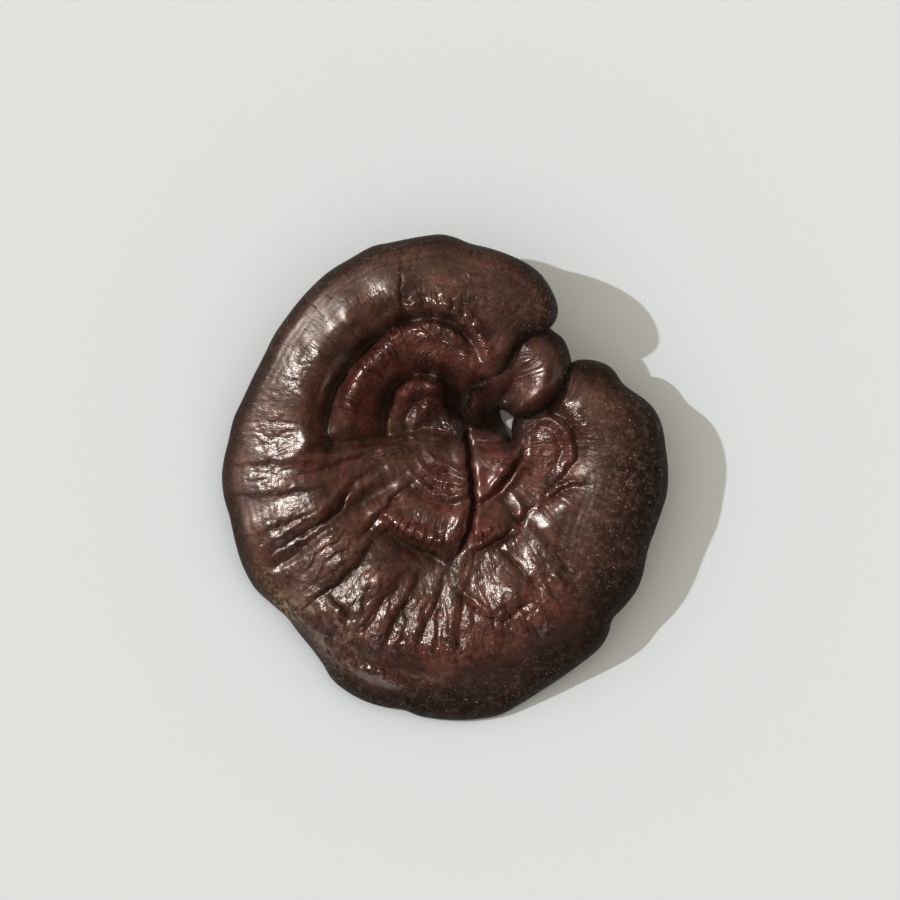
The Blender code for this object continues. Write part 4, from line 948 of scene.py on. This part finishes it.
    # The finest crinkles and folds, which only tilt the light
    crinkled = at_most(plus(weighed((crackled, 0.22), (wrinkled, 0.38), (pleated, 0.08)), 0.06), 0.9)
    crinkles = weighed(
        (long_facets, 0.5), (facets(noise(620, 2.0), 9.0), 0.35), (facets(drawn_out(2.8, 6.0), 7.0), 0.2),
        (drawn_out(3.0, 6.0, 3.0), 0.5), (noise(800, 3.0, 0.6), 0.5))
    tossed = at_most(weighed((pleated, 1.7), (crackled, 0.8), (wrinkled, 0.8)), 3.2)
    folds = weighed((drawn_out(5.0, 8.0, 0.0), 0.8), (noise(480, 0.0), 0.8))
    grain = weighed((noise(2600, 2.0), 0.12), (crack, -0.5), (crinkles, crinkled), (folds, tossed))
    bump = add(tree, "ShaderNodeBump", {"Height": grain, "Distance": 0.00026})
    for key in ("Normal", "Coat Normal"):
        tree.links.new(bump.outputs[0], shader.inputs[key])
    return material


def pitted_flesh():
    """Bare flesh, blotched and finely pitted, with painted shade in its pits: a group that gives its colour
    and the height of its pits.
    """
    tree = bpy.data.node_groups.new("pitted flesh", "ShaderNodeTree")
    for way, sockets in {
        "INPUT": {"Light": "Color", "Dark": "Color", "Pits to the metre": "Float"},
        "OUTPUT": {"Colour": "Color", "Height": "Float"},
    }.items():
        for label, kind in sockets.items():
            tree.interface.new_socket(label, in_out=way, socket_type="NodeSocket" + kind)
    entry = add(tree, "NodeGroupInput").outputs
    place = add(tree, "ShaderNodeTexCoord").outputs["Object"]
    pit = add(tree, "ShaderNodeTexVoronoi", {"Vector": place, "Scale": entry["Pits to the metre"]})
    blotch = add(tree, "ShaderNodeTexNoise", {"Vector": place, "Scale": 120.0, "Detail": 5.0})
    blotched = add(tree, "ShaderNodeMapRange", {
        "Value": blotch.outputs["Fac"], "From Min": 0.4, "From Max": 0.65}).outputs["Result"]
    pitted = add(tree, "ShaderNodeMapRange", {
        "Value": pit.outputs["Distance"], "From Min": 0.30, "From Max": 0.12}).outputs["Result"]
    # The flesh's own blotches, and painted shade in the pits
    blotch_and_pit_shade = maths(
        tree, "MAXIMUM", maths(tree, "MULTIPLY", blotched, 0.45), maths(tree, "MULTIPLY", pitted, 0.8))
    colour = add(tree, "ShaderNodeMix", {0: blotch_and_pit_shade, 6: entry["Light"], 7: entry["Dark"]}, data_type="RGBA")
    height = maths(tree, "MULTIPLY", pitted, -1.0)
    add(tree, "NodeGroupOutput", {"Colour": colour.outputs[2], "Height": height})
    return tree


def plain_material(name, colour, roughness):
    material = bpy.data.materials.new(name)
    material.use_nodes = True
    shader = material.node_tree.nodes["Principled BSDF"]
    shader.inputs["Base Color"].default_value = (*colour, 1)
    shader.inputs["Roughness"].default_value = roughness
    return material


def flesh_material(name, pitting, light, dark, pits, roughness):
    """Bare flesh with so many pits to the metre."""
    material = plain_material(name, light, roughness)
    tree = material.node_tree
    shader = tree.nodes["Principled BSDF"]
    flesh = add(tree, "ShaderNodeGroup", {
        "Light": (*light, 1), "Dark": (*dark, 1), "Pits to the metre": pits}, node_tree=pitting)
    bump = add(tree, "ShaderNodeBump", {"Height": flesh.outputs["Height"], "Distance": 0.0001})
    tree.links.new(flesh.outputs["Colour"], shader.inputs["Base Color"])
    tree.links.new(bump.outputs[0], shader.inputs["Normal"])
    return material


pitting = pitted_flesh()
finishes = {
    "Crust": crust_material(),
    "Pores": flesh_material("pore surface", pitting, (0.42, 0.29, 0.17), (0.20, 0.11, 0.055), 1800.0, 0.85),
    "Cut flesh": flesh_material("cut flesh", pitting, (0.30, 0.17, 0.09), (0.13, 0.065, 0.03), 1200.0, 0.8),
}
crust_relief = crust_relief_tree()
cap = relieved(cap_mesh, crust_relief, finishes | {
    "Shingle depth": 0.0011, "Swell depth": 0.00018, "Wrinkle depth": 0.0003, "Crackle depth": 0.00022,
    "Pleat depth": 0.0003, "Ring depth": 0.00007, "Grain depth": 0.000012, "Seed": 4.0})
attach(cap, "root")
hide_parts("mushroom")

# Side lobe: a small tongue of the same flesh and crust. It grew out of the notch from under the cap's lip
# and rolled into an ear at its lower end. Its root is joined to the flesh of the cap.
LOBE_FLESH = 5.0  # millimetres
LOBE_RIM_HALF = 0.45 * LOBE_FLESH
LOBE_OUTLINE = [
    (541, 322), (552, 331), (562, 339), (568, 351), (571, 366), (569, 380), (562, 393), (552, 404),
    (540, 412), (526, 417), (514, 417), (507, 412), (500, 410), (494, 414), (487, 418), (481, 423),
    (476, 428), (469, 423), (463, 415), (460, 406), (460, 397), (464, 389), (471, 383), (480, 377),
    (491, 369), (501, 357), (509, 344), (519, 332), (530, 325),
]
LOBE_HEIGHTS = [
    # Rim, and the edge over the hole
    (551, 334, 24.0), (565, 348, 23.5), (568, 366, 23.0), (561, 389, 21.5), (545, 405, 20.5),
    (526, 414, 20.0), (510, 410, 19.5),
    # Raised ring, and the valley inside it
    (526, 349, 26.2), (538, 358, 27.0), (546, 372, 27.2), (545, 388, 26.6), (535, 402, 25.0),
    (520, 410, 22.5), (520, 368, 24.6), (521, 382, 23.0), (515, 395, 21.2),
    # Neck and ear
    (508, 378, 24.5), (507, 390, 21.0), (498, 384, 24.0), (485, 386, 24.0), (473, 390, 23.5),
    (465, 398, 22.5), (466, 409, 21.0), (473, 418, 19.0), (485, 398, 20.0), (492, 405, 18.5),
    (483, 410, 18.0), (497, 396, 20.0),
    # Root
    (541, 326, 24.5), (515, 340, 25.0), (500, 360, 25.0), (488, 374, 24.0),
]
LOBE_FOLDS = [
    ("raised ring", 9, 6, 2, [
        (522, 346, 0.4), (535, 352, 0.6), (545, 365, 0.7), (547, 382, 0.7), (540, 397, 0.6),
        (524, 409, 0.4)]),
    ("crest of the ear", 3, 5, 2, [
        (500, 383, 0.5), (487, 384, 1.0), (474, 387, 1.2), (465, 395, 1.2), (464, 405, 1.0),
        (471, 417, 0.5)]),
    ("neck", 4, 4, 2, [(512, 380, -0.5), (507, 390, -1.2), (503, 400, -1.0)]),
]
LOBE_PATCHES = {
    "shingled": [(476, 388, 14, 8, 0, 0.6), (530, 378, 16, 26, 10, 0.6)],
    "wrinkled": [(520, 376, 12, 22, 10, 0.3)],
    "crackled": [(480, 388, 16, 10, 0, 0.8), (472, 412, 8, 14, 0, 0.6)],
    "pleated": [
        (535, 380, 14, 34, 0, 0.15), (525, 355, 14, 12, 0, 0.5), (472, 400, 10, 16, 0, 1.2),
        (480, 390, 14, 8, 0, 0.8),
    ],
    "red": [(535, 400, 25, 20, 0, 0.6), (475, 400, 14, 20, 0, 1.0), (500, 385, 20, 15, 0, 0.5)],
    "dusty": [(562, 370, 10, 30, 0, 0.5), (532, 378, 14, 26, 10, 0.5)],
    "dull": [(564, 348, 12, 24, 0, 0.5)],
    "pale": [],
    # Painted shade under the cap's lip and in the ear's hollow
    "dark": [(560, 345, 14, 20, -40, 0.8), (490, 408, 14, 12, 0, 0.9)],
}


def lobe_heights(places, from_rim):
    """The side lobe's two surfaces. Its rim is equally thick all round."""

    def rim_half(crown):
        return np.full(len(crown), LOBE_RIM_HALF)

    return flesh_heights(places, from_rim, LOBE_HEIGHTS, LOBE_FOLDS, [], LOBE_FLESH, rim_half, calm=0.05)


lobe_plan = plan_points(
    LOBE_OUTLINE, per_span=16, edge_steps=(1.2, 0.4), rows=(0.3, 0.9, 1.9, 3.2), row_gap=0.5,
    upper=(1.2, 0.75), lower=(3.0, 1.9))
lobe_mesh = closed_mesh("side_lobe", *lobe_plan, lobe_heights, LOBE_PATCHES)
side_lobe = relieved(lobe_mesh, crust_relief, finishes | {
    "Shingle depth": 0.0006, "Swell depth": 0.0001, "Wrinkle depth": 0.0002, "Crackle depth": 0.00016,
    "Pleat depth": 0.0003, "Ring depth": 0.00004, "Grain depth": 0.000012, "Seed": 9.0})
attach(side_lobe, "root")
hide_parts("mushroom")

# Table: the plain, pale, matt surface that the mushroom lies on, cap up, resting by its cut stem. It fills
# the picture. Its top is a hair below the cut, so that the two don't share a plane.
TABLE_HALF, TABLE_TOP = 1.5, -0.0002
TABLE_COLOUR, TABLE_ROUGHNESS = (0.69, 0.76, 0.90), 0.9
table_corners = [(x * TABLE_HALF, y * TABLE_HALF, TABLE_TOP) for x, y in ((-1, -1), (1, -1), (1, 1), (-1, 1))]
table_mesh = bpy.data.meshes.new("table")
table_mesh.from_pydata(table_corners, [], [(0, 1, 2, 3)])
table = bpy.data.objects.new("table", table_mesh)
bpy.context.scene.collection.objects.link(table)
table.data.materials.append(plain_material("pale table", TABLE_COLOUR, TABLE_ROUGHNESS))

# Light: low sun from the photograph's left, which casts the shadow and draws the glare, and a room around it.
# The crust mirrors a dimmer room than the one that lights it, brighter towards its window at the upper left.
SUN_STRENGTH, SUN_COLOUR = 1.73, (1.0, 0.98, 0.94)
SUN_HEIGHT, SUN_TURN, SUN_WIDTH = 40, 14, 1.0  # degrees, as are the window's
WINDOW_HEIGHT, WINDOW_TURN = 45, 60
BRIGHTER_SIDE, ROOM_COLOUR = (-0.2, 1.0, 0.0), (1.0, 0.895, 0.68)
ROOM, SIDED, MIRRORED_ROOM, MIRRORED_WINDOW = 0.80, 0.4, 0.045, 0.12
PHOTO_GAMMA = 0.8  # its contrast is a little harder than the scene's own


def towards(height, turn):
    """The direction to a light from its height, and its turn from the photograph's left up, in degrees."""
    height, turn = math.radians(height), math.radians(turn)
    return Vector((-math.cos(height) * math.cos(turn), math.cos(height) * math.sin(turn), math.sin(height)))


sun_data = bpy.data.lights.new("sun", "SUN")
sun_data.energy = SUN_STRENGTH
sun_data.angle = math.radians(SUN_WIDTH)
sun_data.color = SUN_COLOUR
sun = bpy.data.objects.new("sun", sun_data)
sun.rotation_euler = towards(SUN_HEIGHT, SUN_TURN).to_track_quat("Z", "Y").to_euler()
bpy.context.scene.collection.objects.link(sun)

world = bpy.data.worlds.new("room")
world.use_nodes = True
room = world.node_tree
way = add(room, "ShaderNodeTexCoord").outputs["Generated"]


def facing(direction):
    """1 where the room lies in this direction, and -1 where it lies behind."""
    return add(room, "ShaderNodeVectorMath", {0: way, 1: direction}, operation="DOT_PRODUCT").outputs["Value"]


window = maths(room, "MAXIMUM", facing(towards(WINDOW_HEIGHT, WINDOW_TURN)), 0.0)
mirrored = maths(room, "MULTIPLY_ADD", window, MIRRORED_WINDOW, MIRRORED_ROOM)
lighting = maths(room, "MULTIPLY_ADD", facing(BRIGHTER_SIDE), ROOM * SIDED, ROOM)
in_mirror = add(room, "ShaderNodeLightPath").outputs["Is Glossy Ray"]
strength = add(room, "ShaderNodeMix", {"Factor": in_mirror, "A": lighting, "B": mirrored}).outputs["Result"]
room.nodes["Background"].inputs["Color"].default_value = (*ROOM_COLOUR, 1)
room.links.new(strength, room.nodes["Background"].inputs["Strength"])
bpy.context.scene.world = world
bpy.context.scene.view_settings.view_transform = "Standard"
bpy.context.scene.view_settings.gamma = PHOTO_GAMMA

# Camera: a long lens, straight above the middle of the photograph's square frame, which looks down on the
# crust. The plan's scale holds at the framed height, about half way up the mushroom.
PHOTO_SIDE = 900  # pixels
CAMERA_LENS, CAMERA_SENSOR = 200, 36
FRAMED_HEIGHT = 0.012
camera_data = bpy.data.cameras.new("camera")
camera_data.lens = CAMERA_LENS
camera_data.sensor_width = CAMERA_SENSOR
camera = bpy.data.objects.new("camera", camera_data)
bpy.context.scene.collection.objects.link(camera)
middle = (np.array([PHOTO_SIDE / 2, PHOTO_SIDE / 2]) - PLAN_CENTRE) * (PIXEL, -PIXEL)
camera.location = (*middle, FRAMED_HEIGHT + PHOTO_SIDE * PIXEL * CAMERA_LENS / CAMERA_SENSOR)
bpy.context.scene.camera = camera
